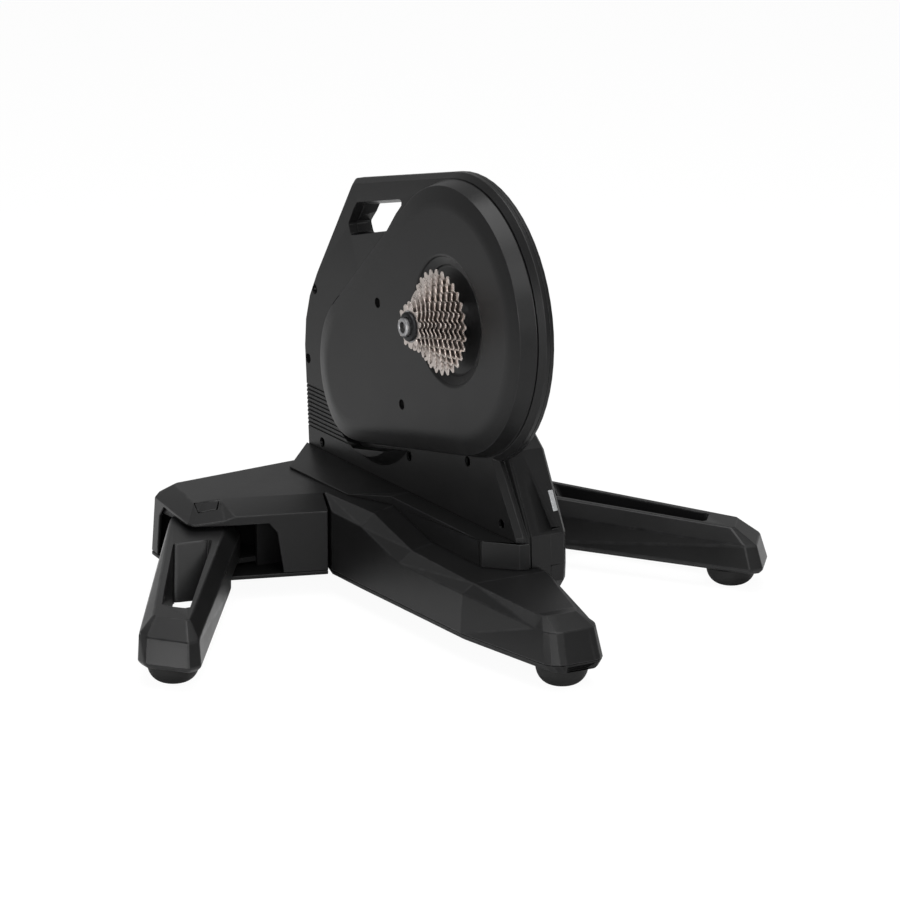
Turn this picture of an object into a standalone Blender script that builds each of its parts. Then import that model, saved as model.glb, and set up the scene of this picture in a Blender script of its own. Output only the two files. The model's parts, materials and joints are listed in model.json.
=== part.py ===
# Bike trainer: a floor stand that takes the place of a bicycle's rear wheel.
# A cassette drives a belt, and the belt drives a braked flywheel. Two legs fold in beside the beam.
# Metres, +Z up. +X is the way the bicycle faces and +Y is its left side.
# The origin lies on the floor, at the middle of the footprint. Outlines are measured from the axle.
import math

import bmesh
import bpy
from mathutils import Matrix, Vector

# Clearances
GAP = 0.0003            # between pieces that touch
SLOT_GAP = 0.0006       # round a piece in its slot
RUN_GAP = 0.0012        # between a turning piece and a fixed one
WELD = 0.000005         # corners nearer than this are one corner
FLAT_ANGLE = math.radians(0.05)  # a face that bends more is split, and flatter neighbours are joined

# Heights
PLATE_Z = 0.024         # underside of the floor plates
PLATE_T = 0.0047
LEG_Z = 0.0225          # underside of the legs
ROOF_Z = 0.110          # flat top of the arms
AXLE_Z = 0.350

# Front beam
BEAM_WALL = 0.003
BEAM_HALF = 0.061       # half width at the root
BEAM_BACK = 0.2035      # root of the beam behind the axle
BEAM_TIP = 0.2815       # tip of the beam ahead of the axle
SEAM_RISE = 0.004       # the cover's lower edge is this much higher at the tip
TRAY_SLANT = 0.0065     # and the tray's edge leans in by this much there
RIM_W = 0.0035
RIM_DROP = 0.0002
BEAM_DECK_Z = 0.090     # low deck under the neck
BEAM_NOSE_Z = 0.078
BEAM_STEP_X = 0.101     # the deck starts down this far behind the axle
BEAM_FLAT_X = 0.009     # and has come down this far behind the axle
BEAM_SKEW = 0.018       # how far the two breaks lean forward from the middle to the edge

# Arms
ARM_WALL = 0.003
ARM_REAR = 0.343        # rear wall behind the axle
ARM_REACH = 0.213       # end of an arm from the middle
ARM_EDGE_Z = 0.099      # lower edge of the front slope
ARM_LEAN = 0.005        # the end wall's foot is this much further out at the rear
ROOF_FALL = 0.005       # the roof's end is this much lower than its root
# Lower edge of the slope, from the middle at the rear round the end, above or below the front's
EDGE_RISES = (0.011, 0.0045, -0.003, -0.006, -0.007, -0.008, -0.004, 0.0, 0.0, 0.009, 0.011)
ARCH_Z = 0.0885         # top of the opening for the leg
ARCH_IN = 0.1105        # inner foot of the opening, from the middle

# Legs
HINGE_X = -0.249
HINGE_Y = 0.171
LEG_ANGLE = 34.5        # from the beam, when the leg stands out
LEG_REACH = 0.332       # hinge to foot
LEG_TOP_ROOT = 0.085
LEG_TOP_TIP = 0.0712
LEG_SIDE_ROOT = 0.067
LEG_SIDE_TIP = 0.0555
LEG_INNER = 0.0335      # inner side from the hinge line
LEG_OUTER_ROOT = 0.0517
LEG_OUTER_TIP = 0.0352
LEG_ROOT_Z = 0.040      # underside where the leg lies over the arm's floor
LEG_STEP = 0.088
LEG_END = 0.3724        # hinge to the inner corner of the end face
LEG_FOOT_Z = 0.028      # the walls lean out down to this height
LEG_CHAMFER = 0.005     # and the lower edge is drawn in by this much
PIN_R = 0.008
PIN_HEAD_T = 0.003
BUTTON_TRAVEL = 0.002

# Feet
FOOT_R = 0.0296
FOOT_FLAT = 0.006
PAD_R = 0.016
PAD_X = -0.318
PAD_Y = 0.120
FRONT_FOOT_X = 0.242

# Spine frame inside the base
SPINE_T = 0.004
CROSS_X0 = -0.300
CROSS_X1 = -0.222
CROSS_HALF = 0.126
CROSS_Z = 0.093
BAR_HALF = 0.032
BAR_Z = 0.063
BAR_END = 0.215
EAR_T = 0.006
EAR_R = 0.021

# Casing
CASING_REAR = 0.382     # rearmost point behind the axle
CASING_FACE = 0.021     # drive side face, from the middle plane
CASING_SHOULDER = 0.006  # the face is drawn in by this much, over the same depth
CASING_SEAM = 0.032
CASING_FULL = 0.0365    # where the back half starts to taper
CASING_BACK = 0.051
CASING_TAPER = 1.72     # inset for each unit of depth past that
CASING_WALL = 0.003
RING_R = 0.162
CORNER_R = 0.014
NECK_BACK = 0.083       # non-drive side of the lower housing
NECK_EDGE = 0.005
HOUSING_TOP = 0.268
CHEEK_Z = 0.050
HANDLE_WALL = 0.003
HANDLE_FALL = 0.005
SOCKET_R = 0.008
SOCKET_BORE_R = 0.0055
SOCKET_AT = (0.050, 0.118)
LIGHT_AT = (0.0979, 0.158)
LIGHT_LONG = 0.024
LIGHT_WIDE = 0.006
LIGHT_Y = 0.072
VENT_COUNT = 11
VENT_PITCH = 0.00485
VENT_Z = 0.1415
VENT_W = 0.0021
VENT_D = 0.0018

# Skirt round the casing's foot
SKIRT_Z = 0.119         # where it meets the casing
SKIRT_LIFT = 0.0018     # its outer edge over the roof
SKIRT_DEEP = 0.084      # its underside before it is cut to the base

# Belt drive
TAIL_X = -0.210
TAIL_Z = 0.2415
COVER_R = 0.150
COVER_TAIL_R = 0.0925
COVER_LOW_ANGLE = -79.3
COVER_FLAT = -0.003     # front face of the cover
COVER_EDGE = 0.001
COVER_BAND = 0.020
COVER_DRAFT = 0.005
COVER_WALL = 0.0025
RECESS_R = 0.0714
RECESS_D = 0.008
HUB_HOLE_R = 0.021
BOSS_R = 0.096
BOSS_FOOT_R = 0.109
BOSS_Y = 0.004
PULLEY_R = 0.135
PULLEY_W = 0.011
SMALL_R = 0.022
BELT_T = 0.002
CHASSIS_T = 0.006
FLYWHEEL_R = 0.105
FLYWHEEL_W = 0.016
SHAFT_R = 0.008
BEARING_R = 0.016
BEARING_W = 0.007
MAGNET_T = 0.008
YOKE_T = 0.008
BRAKE_TURN = 10.0       # direction from the flywheel's axis to the middle of the brake

# Cassette and axle
TEETH = (11, 12, 13, 14, 15, 17, 19, 21, 23, 25, 28)
CHAIN_PITCH = 0.0127
TOOTH_RISE = 0.0030
TOOTH_ROOT = 0.0036
COLLAR_T = 0.0012
SPROCKET_T = 0.0016
SPROCKET_PITCH = 0.00374
CASSETTE_Y = -0.013     # plane of the largest sprocket
FREEHUB_R = 0.0173
BODY_R = 0.0133         # bore of the freehub body
AXLE_R = 0.006
LOCKRING_R = 0.0165
LOCKRING_T = 0.0033
DROPOUT = 0.130         # between the two dropout faces
DROPOUT_DRIVE = -0.0605
END_R = 0.0105

# Screws
SCREW_HEAD_R = 0.0045
SCREW_HEAD_T = 0.003
SCREW_R = 0.002
SCREW_LONG = 0.010
SCREW_STEPS = 12
RECESS_SCREW_R = 0.006
RECESS_SCREW_D = 0.0075
SCREW_WALL = 0.0025
CASING_SCREWS = ((-0.351, 0.309), (-0.368, 0.222), (-0.335, 0.128), (-0.129, 0.161), (0.003, 0.187),
                 (0.077, 0.133))
COVER_SCREWS = ((-0.158, 0.337), (-0.103, 0.231))

# What follows from the sizes above
AXLE_X = (CASING_REAR - BEAM_TIP) / 2
SHELL_Z = PLATE_Z + PLATE_T + GAP
PULLEY_Y = COVER_FLAT + RECESS_D + COVER_WALL + RUN_GAP
CHASSIS_Y = CASING_FACE + CASING_WALL + GAP
FLYWHEEL_Y = CHASSIS_Y + CHASSIS_T + RUN_GAP
DROPOUT_OTHER = DROPOUT_DRIVE + DROPOUT
RECESS_FLOOR = COVER_FLAT + RECESS_D
STACK_END = CASSETTE_Y - SPROCKET_PITCH * (len(TEETH) - 1) - SPROCKET_T / 2


def material(name, colour, roughness, metallic=0.0):
    """A plain Principled material."""
    mat = bpy.data.materials.new(name)
    mat.use_nodes = True
    shader = mat.node_tree.nodes["Principled BSDF"]
    shader.inputs["Base Color"].default_value = (*colour, 1.0)
    shader.inputs["Roughness"].default_value = roughness
    shader.inputs["Metallic"].default_value = metallic
    return mat


def mesh_object(name, verts, faces, mat=None, at=(0.0, 0.0, 0.0)):
    """An object whose origin is at a point given from the axle's foot on the floor."""
    mesh = bpy.data.meshes.new(name)
    mesh.from_pydata([Vector(v) - Vector(at) for v in verts], [], faces)
    bm = bmesh.new()
    bm.from_mesh(mesh)
    bmesh.ops.connect_verts_nonplanar(bm, angle_limit=FLAT_ANGLE, faces=bm.faces)
    bmesh.ops.recalc_face_normals(bm, faces=bm.faces)
    bm.to_mesh(mesh)
    bm.free()
    obj = bpy.data.objects.new(name, mesh)
    obj.location = (at[0] + AXLE_X, at[1], at[2])
    bpy.context.scene.collection.objects.link(obj)
    if mat:
        mesh.materials.append(mat)
    return obj


def loft(name, rings, mat=None, at=(0.0, 0.0, 0.0), end=None):
    """A closed solid through rings of as many points each. The last ring may be closed by several faces."""
    count = len(rings[0])
    verts = [point for ring in rings for point in ring]
    faces = [tuple(reversed(range(count)))]
    for level in range(len(rings) - 1):
        base = level * count
        for i in range(count):
            j = (i + 1) % count
            faces.append((base + i, base + j, base + count + j, base + count + i))
    top = (len(rings) - 1) * count
    for group in end or (range(count),):
        faces.append(tuple(top + i for i in group))
    return mesh_object(name, verts, faces, mat, at)


def extrude_z(name, loop, z0, z1, mat=None, at=(0.0, 0.0, 0.0)):
    return loft(name, [[(x, y, z0) for x, y in loop], [(x, y, z1) for x, y in loop]], mat, at)


def extrude_y(name, loop, y0, y1, mat=None, at=(0.0, 0.0, 0.0)):
    return loft(name, [[(x, y0, z) for x, z in loop], [(x, y1, z) for x, z in loop]], mat, at)


def extrude_x(name, loop, x0, x1, mat=None, at=(0.0, 0.0, 0.0)):
    return loft(name, [[(x0, y, z) for y, z in loop], [(x1, y, z) for y, z in loop]], mat, at)


def box(name, low, high, mat=None, at=(0.0, 0.0, 0.0)):
    loop = [(low[0], low[1]), (high[0], low[1]), (high[0], high[1]), (low[0], high[1])]
    return extrude_z(name, loop, low[2], high[2], mat, at)


def turned(name, profile, centre, steps, mat=None, upright=False):
    """Spin a closed profile of (radius, height) about an axis along Y, or along Z if upright."""
    verts = []
    rings = []
    for radius, height in profile:
        ring = []
        for k in range(steps if radius > 0 else 1):
            a = 2 * math.pi * k / steps
            u, v = radius * math.cos(a), radius * math.sin(a)
            ring.append(len(verts))
            if upright:
                verts.append((centre[0] + u, centre[1] + v, height))
            else:
                verts.append((centre[0] + u, height, centre[1] + v))
        rings.append(ring)
    faces = []
    for i, ring in enumerate(rings):
        other = rings[(i + 1) % len(rings)]
        if len(ring) == 1 and len(other) == 1:
            continue
        for k in range(steps):
            m = (k + 1) % steps
            if len(ring) == 1:
                faces.append((ring[0], other[k], other[m]))
            elif len(other) == 1:
                faces.append((ring[k], other[0], ring[m]))
            else:
                faces.append((ring[k], other[k], other[m], ring[m]))
    at = (centre[0], centre[1], 0.0) if upright else (centre[0], 0.0, centre[1])
    obj = mesh_object(name, verts, faces, mat, at)
    obj.data.shade_smooth()
    obj.data.set_sharp_from_angle(angle=math.radians(35))
    return obj


def disc(radius, low, high):
    """Profile of a solid cylinder."""
    return [(0.0, low), (radius, low), (radius, high), (0.0, high)]


def tube(inner, outer, low, high):
    """Profile of a ring of square section."""
    return [(inner, low), (outer, low), (outer, high), (inner, high)]


def cut(obj, tool, operation="DIFFERENCE"):
    """Boolean with a tool, which is used up, then a clean mesh with its flat faces whole again."""
    mod = obj.modifiers.new("cut", "BOOLEAN")
    mod.operation = operation
    mod.object = tool
    graph = bpy.context.evaluated_depsgraph_get()
    mesh = bpy.data.meshes.new_from_object(obj.evaluated_get(graph), depsgraph=graph)
    obj.modifiers.clear()
    obj.data = mesh
    bpy.data.objects.remove(tool)
    bm = bmesh.new()
    bm.from_mesh(mesh)
    bmesh.ops.remove_doubles(bm, verts=bm.verts, dist=WELD)
    bmesh.ops.dissolve_degenerate(bm, edges=bm.edges, dist=WELD)
    bmesh.ops.dissolve_limit(bm, angle_limit=FLAT_ANGLE, verts=bm.verts, edges=bm.edges)
    bm.to_mesh(mesh)
    bm.free()


def joined(name, objects, mat=None):
    """Several loose solids as one object."""
    bm = bmesh.new()
    for obj in objects:
        start = len(bm.verts)
        bm.from_mesh(obj.data)
        bm.verts.ensure_lookup_table()
        bmesh.ops.transform(bm, matrix=Matrix.Translation(obj.location), verts=bm.verts[start:])
        bpy.data.objects.remove(obj)
    at = Vector((AXLE_X, 0.0, 0.0))
    bmesh.ops.transform(bm, matrix=Matrix.Translation(-at), verts=bm.verts)
    mesh = bpy.data.meshes.new(name)
    bm.to_mesh(mesh)
    bm.free()
    out = bpy.data.objects.new(name, mesh)
    out.location = at
    bpy.context.scene.collection.objects.link(out)
    if mat:
        mesh.materials.clear()
        mesh.materials.append(mat)
    return out


def arc(centre, radius, start, end, steps):
    """Points from one angle to another, both in degrees."""
    out = []
    for k in range(steps + 1):
        a = math.radians(start + (end - start) * k / steps)
        out.append((centre[0] + radius * math.cos(a), centre[1] + radius * math.sin(a)))
    return out


def inset(loop, distance):
    """Move each side of a loop inwards. The distance may be one value or one for each side."""
    count = len(loop)
    area = sum(loop[i][0] * loop[(i + 1) % count][1] - loop[(i + 1) % count][0] * loop[i][1]
               for i in range(count))
    sign = 1.0 if area > 0 else -1.0
    sides = distance if isinstance(distance, (list, tuple)) else [distance] * count
    out = []
    for i in range(count):
        here = Vector(loop[i])
        before = (here - Vector(loop[i - 1])).normalized()
        after = (Vector(loop[(i + 1) % count]) - here).normalized()
        n1 = Vector((-before.y, before.x)) * sign
        n2 = Vector((-after.y, after.x)) * sign
        d1, d2 = sides[i - 1], sides[i]
        turn = n1.x * n2.y - n1.y * n2.x
        if abs(turn) < 0.02:
            move = (n1 * d1 + n2 * d2) / 2
        else:
            move = Vector(((d1 * n2.y - d2 * n1.y) / turn, (d2 * n1.x - d1 * n2.x) / turn))
        out.append((here.x + move.x, here.y + move.y))
    return out


def rounded(loop, radius, steps=3):
    """Round every corner of a loop."""
    out = []
    count = len(loop)
    for i in range(count):
        here = Vector(loop[i])
        back = (Vector(loop[i - 1]) - here).normalized()
        ahead = (Vector(loop[(i + 1) % count]) - here).normalized()
        half = back.angle(ahead) / 2
        reach = radius / math.tan(half)
        middle = here + (back + ahead).normalized() * radius / math.sin(half)
        first = here + back * reach - middle
        swing = first.angle_signed(here + ahead * reach - middle)
        for k in range(steps + 1):
            a = -swing * k / steps
            x = first.x * math.cos(a) - first.y * math.sin(a)
            y = first.x * math.sin(a) + first.y * math.cos(a)
            out.append((middle.x + x, middle.y + y))
    return out


def mirrored(points):
    return [(x, -y, *rest) for x, y, *rest in reversed(points)]


# Front beam

def beam_rows():
    """Foot x and half width, slope edge x, half width and height, deck edge x, half width and height."""
    tip, nose, top = BEAM_TIP, BEAM_NOSE_Z - 0.011, BEAM_NOSE_Z
    return (
        (-BEAM_BACK, BEAM_HALF - 0.013, -BEAM_BACK, BEAM_HALF - 0.013, ROOF_Z, -BEAM_BACK,
         BEAM_HALF - 0.0135, ROOF_Z),
        (-BEAM_BACK + 0.0405, BEAM_HALF, -BEAM_BACK + 0.0405, BEAM_HALF, ARM_EDGE_Z, -BEAM_BACK + 0.0055,
         BEAM_HALF - 0.0135, ROOF_Z),
        (-BEAM_STEP_X + 0.007, BEAM_HALF, -BEAM_STEP_X + 0.007, BEAM_HALF, ARM_EDGE_Z, -BEAM_STEP_X,
         BEAM_HALF - 0.020, ROOF_Z),
        (-BEAM_FLAT_X - 0.003, BEAM_HALF - 0.0015, -BEAM_FLAT_X - 0.003, BEAM_HALF - 0.002,
         BEAM_DECK_Z - 0.013, -BEAM_FLAT_X, BEAM_HALF - 0.018, BEAM_DECK_Z),
        (0.122, BEAM_HALF - 0.0035, 0.1255, BEAM_HALF - 0.004, BEAM_DECK_Z - 0.012, 0.1325,
         BEAM_HALF - 0.015, BEAM_DECK_Z),
        (tip - 0.0315, 0.0392, tip - 0.0395, 0.0350, nose, tip - 0.0535, 0.0240, top),
        (tip - 0.0165, 0.0365, tip - 0.0255, 0.0330, nose, tip - 0.0465, 0.0215, top),
        (tip - 0.0070, 0.0320, tip - 0.0180, 0.0290, nose, tip - 0.0425, 0.0185, top),
        (tip - 0.0015, 0.0255, tip - 0.0130, 0.0235, nose, tip - 0.0410, 0.0130, top),
        (tip, 0.0180, tip - 0.0115, 0.0160, nose, tip - 0.0405, 0.0070, top))


def seam_height(x):
    """Where the beam's cover meets its plate. The seam rises towards the tip."""
    share = (x + BEAM_BACK) / (BEAM_TIP + BEAM_BACK)
    return SHELL_Z + SEAM_RISE * share


def beam_stations(wall=0.0):
    """Cross sections of the beam from root to tip. A wall thickness gives its hollow."""
    stations = []
    for index, row in enumerate(beam_rows()):
        foot_x, foot, low_x, half, low, deck_x, deck_half, deck = row
        floor = seam_height(foot_x) if wall == 0.0 else PLATE_Z - 0.01
        pull = wall if index > 4 else 0.0
        if index == 0 and wall:
            pull = 0.02
        foot_x, low_x, deck_x = foot_x - pull, low_x - pull, deck_x - pull
        middle = deck_x - (BEAM_SKEW if index in (2, 3) else 0.0)
        foot, half, deck_half = foot - wall, half - wall, deck_half - wall
        low, deck = low - wall, deck - wall
        stations.append([(foot_x, -foot, floor), (low_x, -half, low), (deck_x, -deck_half, deck),
                         (middle, 0.0, deck), (deck_x, deck_half, deck), (low_x, half, low),
                         (foot_x, foot, floor)])
    return stations


BEAM_END = ((0, 1, 5, 6), (1, 2, 3, 4, 5))


def raise_ring(rings, rise):
    return [[(x, y, z + rise) for x, y, z in ring] for ring in rings]


def beam_cover(mat):
    obj = loft("beam_cover", beam_stations(), mat, end=BEAM_END)
    cut(obj, loft("cutter_beam_hollow", beam_stations(BEAM_WALL), end=BEAM_END))
    cut(obj, chassis_slot("cutter_beam_slot"))
    return obj


def beam_plate(mat):
    """A tray with a slanted edge. Its raised rim carries the cover's wall."""
    rings = []
    for row in beam_rows():
        x, top = row[0], row[1] - SLOT_GAP
        rim = seam_height(x) - GAP
        share = (x + BEAM_BACK) / (BEAM_TIP + BEAM_BACK)
        under = TRAY_SLANT * share
        floor = PLATE_Z + PLATE_T
        back = 0.006 if x > BEAM_TIP - 0.001 else 0.0
        x -= SLOT_GAP if back else 0.0
        side = [(x - back, -top + under, PLATE_Z), (x, -top, rim), (x - back, -top + RIM_W, rim),
                (x - back, -top + RIM_W, floor - RIM_DROP * share)]
        rings.append(side + [(px, -py, pz) for px, py, pz in reversed(side)])
    return loft("beam_plate", rings, mat, end=((0, 1, 6, 7), (1, 2, 5, 6), (2, 3, 4, 5)))


# Arms

def arm_outline(lean=0.0):
    """The right arm's outline from the middle at the rear round its end to the beam, leaning out below."""
    return [(-ARM_REAR, -GAP / 2), (-ARM_REAR, -ARM_REACH + 0.046), (-ARM_REAR, -ARM_REACH + 0.023 - lean),
            (-ARM_REAR + 0.006, -ARM_REACH + 0.015 - lean), (HINGE_X + 0.024, -ARM_REACH - lean / 4),
            (HINGE_X + 0.034, -ARM_REACH + 0.003 - lean / 4), (HINGE_X + 0.0475, -HINGE_Y - 0.007),
            (HINGE_X + 0.051, -HINGE_Y + 0.005), (-BEAM_BACK + 0.0375, -BEAM_HALF - 0.003),
            (-BEAM_BACK - 0.002, -BEAM_HALF + 0.011), (-BEAM_BACK - 0.002, -GAP / 2)]


def arm_roof():
    """The flat of the roof, point for point with the outline."""
    return [(-ARM_REAR + 0.003, -GAP / 2), (-ARM_REAR + 0.005, -ARM_REACH + 0.047),
            (-ARM_REAR + 0.006, -ARM_REACH + 0.042), (-ARM_REAR + 0.010, -ARM_REACH + 0.039),
            (HINGE_X - 0.007, -HINGE_Y - 0.018), (HINGE_X - 0.004, -HINGE_Y - 0.010),
            (HINGE_X + 0.004, -HINGE_Y + 0.006), (HINGE_X + 0.0055, -HINGE_Y + 0.011),
            (-BEAM_BACK - 0.0025, -BEAM_HALF + 0.0125), (-BEAM_BACK - 0.003, -BEAM_HALF + 0.0135),
            (-BEAM_BACK - 0.003, -GAP / 2)]


def arm_rings(wall=0.0):
    foot, outline, roof = arm_outline(ARM_LEAN), arm_outline(), arm_roof()
    floor = SHELL_Z
    if wall:
        sides = [wall] * 8 + [-0.02, -0.02, -0.02]
        foot = inset(foot, sides)
        outline = inset(outline, sides)
        roof = inset(roof, sides)
        floor = PLATE_Z - 0.01
    edge = [ARM_EDGE_Z + rise - wall - (GAP if rise > 0.01 else 0.0) for rise in EDGE_RISES]
    top = [ROOF_Z - wall + ROOF_FALL * y / HINGE_Y for _, y in arm_roof()]
    return [[(x, y, floor) for x, y in foot], [(x, y, z) for (x, y), z in zip(outline, edge)],
            [(x, y, z) for (x, y), z in zip(roof, top)]]


def sided(rings, side):
    """Rings for the right side as they are, and mirrored for the left."""
    if side == "right":
        return rings
    return [[(x, -y, z) for x, y, z in ring] for ring in rings]


def button_loop(grow=0.0):
    """The release button in the corner of the roof."""
    loop = [(HINGE_X - 0.006, -HINGE_Y - 0.018), (HINGE_X + 0.014, -HINGE_Y - 0.023),
            (HINGE_X + 0.019, -HINGE_Y - 0.002), (HINGE_X + 0.003, -HINGE_Y + 0.009)]
    return inset(loop, -grow)


def arm_cover(side, mat):
    sign = 1 if side == "right" else -1
    obj = loft("arm_cover_" + side, sided(arm_rings(), side), mat)
    cut(obj, loft("cutter_arm_hollow_" + side, sided(arm_rings(ARM_WALL), side)))
    low = PLATE_Z - 0.01
    end = [(-ARM_REAR + 0.024, low), (-ARM_REAR + 0.024, ARCH_Z - 0.014), (-ARM_REAR + 0.036, ARCH_Z),
           (HINGE_X + 0.100, ARCH_Z), (HINGE_X + 0.100, low)]
    inside, outside = -sign * (HINGE_Y + 0.010), -sign * (ARM_REACH + 0.02)
    cut(obj, extrude_y("cutter_arch_end_" + side, end, inside, outside))
    front = [(y * sign, z) for y, z in ((-ARM_REACH - 0.02, low), (-ARM_REACH - 0.02, ARCH_Z),
             (-ARCH_IN - 0.018, ARCH_Z), (-ARCH_IN - 0.009, ARCH_Z - 0.0115), (-ARCH_IN, low))]
    cut(obj, extrude_x("cutter_arch_front_" + side, front, HINGE_X + 0.030, HINGE_X + 0.110))
    hole = [(x, y * sign) for x, y in button_loop(SLOT_GAP)]
    cut(obj, extrude_z("cutter_button_" + side, hole, ARCH_Z - 0.02, ROOF_Z + 0.02))
    if side == "left":
        cut(obj, chassis_slot("cutter_arm_slot"))
    return obj


def rear_plate(mat):
    """One floor plate under both arms."""
    right = [point for point in arm_outline(ARM_LEAN) if point[1] < -GAP]
    loop = right + mirrored(right)
    return extrude_z("rear_plate", loop, PLATE_Z, PLATE_Z + PLATE_T, mat)


def release_button(side, mat):
    """A key that is flush with the roof, cut from the arm's own outer shape."""
    sign = 1 if side == "right" else -1
    loop = [(x, y * sign) for x, y in button_loop()]
    low = CROSS_Z + PIN_HEAD_T + BUTTON_TRAVEL + GAP * 2
    at = (HINGE_X, sign * -HINGE_Y, 0.0)
    obj = extrude_z("release_button_" + side, loop, low, ROOF_Z + 0.02, mat, at)
    cut(obj, loft("cutter_roof_" + side, sided(arm_rings(), side)), "INTERSECT")
    return obj


# Legs

def leg_points():
    """The right leg's outline along its own length: at the slope's edge, at the flat and at the foot."""
    end = LEG_END
    root = [(LEG_STEP, LEG_INNER), (0.0, LEG_INNER), (-0.022, 0.025), (-0.036, 0.008), (-0.041, -0.014),
            (-0.034, -0.036), (-0.018, -0.048), (0.0, -LEG_OUTER_ROOT)]
    edge = [(end - 0.0254, -LEG_OUTER_TIP), (end - 0.0152, -LEG_OUTER_TIP + 0.0094),
            (end, LEG_INNER - 0.0113), (end - 0.0107, LEG_INNER - 0.001)] + root
    foot = [(end - 0.0194, -LEG_OUTER_TIP - 0.0008), (end - 0.0059, -LEG_OUTER_TIP + 0.0084),
            (end + 0.0091, LEG_INNER - 0.0095), (end - 0.0024, LEG_INNER + 0.0021)] + root
    flat = [(end - 0.0434, -LEG_OUTER_TIP + 0.0134), (end - 0.0409, -LEG_OUTER_TIP + 0.0164),
            (end - 0.0299, LEG_INNER - 0.0170), (end - 0.0339, LEG_INNER - 0.0138),
            (LEG_STEP, LEG_INNER - 0.0132), (0.0, LEG_INNER - 0.0135), (-0.016, 0.013), (-0.027, 0.002),
            (-0.031, -0.015), (-0.026, -0.032), (-0.014, -0.042), (-0.003, -LEG_OUTER_ROOT + 0.0055)]
    return edge, flat, foot


def leg_height(root, tip, along):
    return root + (tip - root) * max(0.0, along) / LEG_END


def leg_window(z, sign):
    """The window through the leg, which leans at its root end, at a height."""
    down = (LEG_TOP_ROOT - z) / (LEG_TOP_ROOT - PLATE_Z)
    tip = LEG_END - 0.0654 - 0.004 * down
    loop = [(0.091 + 0.036 * down, -0.031 + 0.004 * down), (tip - 0.010, -0.016 + 0.002 * down),
            (tip, 0.0152 - 0.002 * down), (0.071 + 0.038 * down, 0.0112 - 0.002 * down)]
    return [(x, y * sign, z) for x, y in rounded(loop, 0.004, 2)]


def leg(side, mat):
    sign = 1 if side == "right" else -1
    edge, flat, foot = leg_points()
    rings = [[(x, y, LEG_Z) for x, y in inset(foot, LEG_CHAMFER)], [(x, y, LEG_FOOT_Z) for x, y in foot],
             [(x, y, leg_height(LEG_SIDE_ROOT, LEG_SIDE_TIP, x)) for x, y in edge],
             [(x, y, leg_height(LEG_TOP_ROOT, LEG_TOP_TIP, x)) for x, y in flat]]
    obj = loft("leg_" + side, sided(rings, side), mat)
    window = loft("cutter_window_" + side,
                  [leg_window(PLATE_Z - 0.015, sign), leg_window(LEG_TOP_ROOT + 0.02, sign)])
    step = [(-0.09, PLATE_Z - 0.02), (LEG_STEP + 0.004, PLATE_Z - 0.02), (LEG_STEP - 0.002, LEG_ROOT_Z),
            (-0.09, LEG_ROOT_Z)]
    under = extrude_y("cutter_step_" + side, step, -0.09, 0.09)
    bore = turned("cutter_bore_" + side, disc(PIN_R + GAP, 0.0, 0.12), (0.0, 0.0), 24, upright=True)
    for tool in (window, under, bore):
        cut(obj, tool)
    obj.location = (AXLE_X + HINGE_X, sign * -HINGE_Y, 0.0)
    obj.rotation_euler = (0.0, 0.0, math.radians(-LEG_ANGLE * sign))
    return obj


def dome_profile(top):
    """A rubber foot: part of a ball, worn flat where it stands."""
    start = math.asin(FOOT_FLAT / FOOT_R)
    end = math.acos((FOOT_R - top) / FOOT_R)
    steps = 5
    profile = [(0.0, 0.0)]
    for k in range(steps + 1):
        a = start + (end - start) * k / steps
        z = FOOT_R - FOOT_R * math.cos(a)
        profile.append((FOOT_R * math.sin(a), 0.0 if k == 0 else z))
    return profile + [(0.0, top)]


def feet(legs, mat):
    turned("foot_front", dome_profile(PLATE_Z - GAP), (FRONT_FOOT_X, 0.0), 24, mat, upright=True)
    for side, parent in legs.items():
        profile = dome_profile(LEG_Z - GAP)
        foot = turned("foot_leg_" + side, profile, (LEG_REACH, 0.0), 24, mat, upright=True)
        foot.parent = parent
        foot.location = (LEG_REACH, 0.0, 0.0)
    for side, sign in (("right", -1), ("left", 1)):
        top = PLATE_Z - GAP
        pad = [(0.0, 0.0), (PAD_R - 0.002, 0.0), (PAD_R, 0.002), (PAD_R, top), (0.0, top)]
        turned("foot_rear_" + side, pad, (PAD_X, sign * PAD_Y), 24, mat, upright=True)


# Steel spine frame inside the base

def spine_frame(mat):
    low = SHELL_Z
    deep = PLATE_Z - 0.01
    cross = box("spine_frame", (CROSS_X0, -CROSS_HALF, low), (CROSS_X1, CROSS_HALF, CROSS_Z), mat)
    bar = box("cutter_bar", (CROSS_X1 - SPINE_T, -BAR_HALF, low), (BAR_END, BAR_HALF, BAR_Z))
    cut(cross, bar, "UNION")
    cut(cross, box("cutter_cross_hollow", (CROSS_X0 + SPINE_T, -CROSS_HALF - 0.01, deep),
                   (CROSS_X1 - SPINE_T, CROSS_HALF + 0.01, CROSS_Z - EAR_T)))
    cut(cross, box("cutter_bar_hollow", (CROSS_X1 - SPINE_T - 0.01, -BAR_HALF + SPINE_T, deep),
                   (BAR_END + 0.01, BAR_HALF - SPINE_T, BAR_Z - SPINE_T)))
    half = (CROSS_X1 - CROSS_X0) / 2 - 0.001
    for side, sign in (("right", -1), ("left", 1)):
        root_y = sign * (CROSS_HALF - 0.012)
        root = [(HINGE_X - half + 0.012, root_y), (HINGE_X + half - 0.014, root_y)]
        nose = arc((HINGE_X, sign * HINGE_Y), EAR_R, 0.0, 180.0 * sign, 8)
        for level, top in (("low", LEG_ROOT_Z - GAP), ("high", CROSS_Z)):
            plate = extrude_z("cutter_ear_" + level + "_" + side, root + nose, top - EAR_T, top)
            cut(cross, plate, "UNION")
        bore = disc(PIN_R + GAP, 0.0, 0.12)
        cut(cross, turned("cutter_ear_bore_" + side, bore, (HINGE_X, sign * HINGE_Y), 24, upright=True))
    return cross


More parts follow.
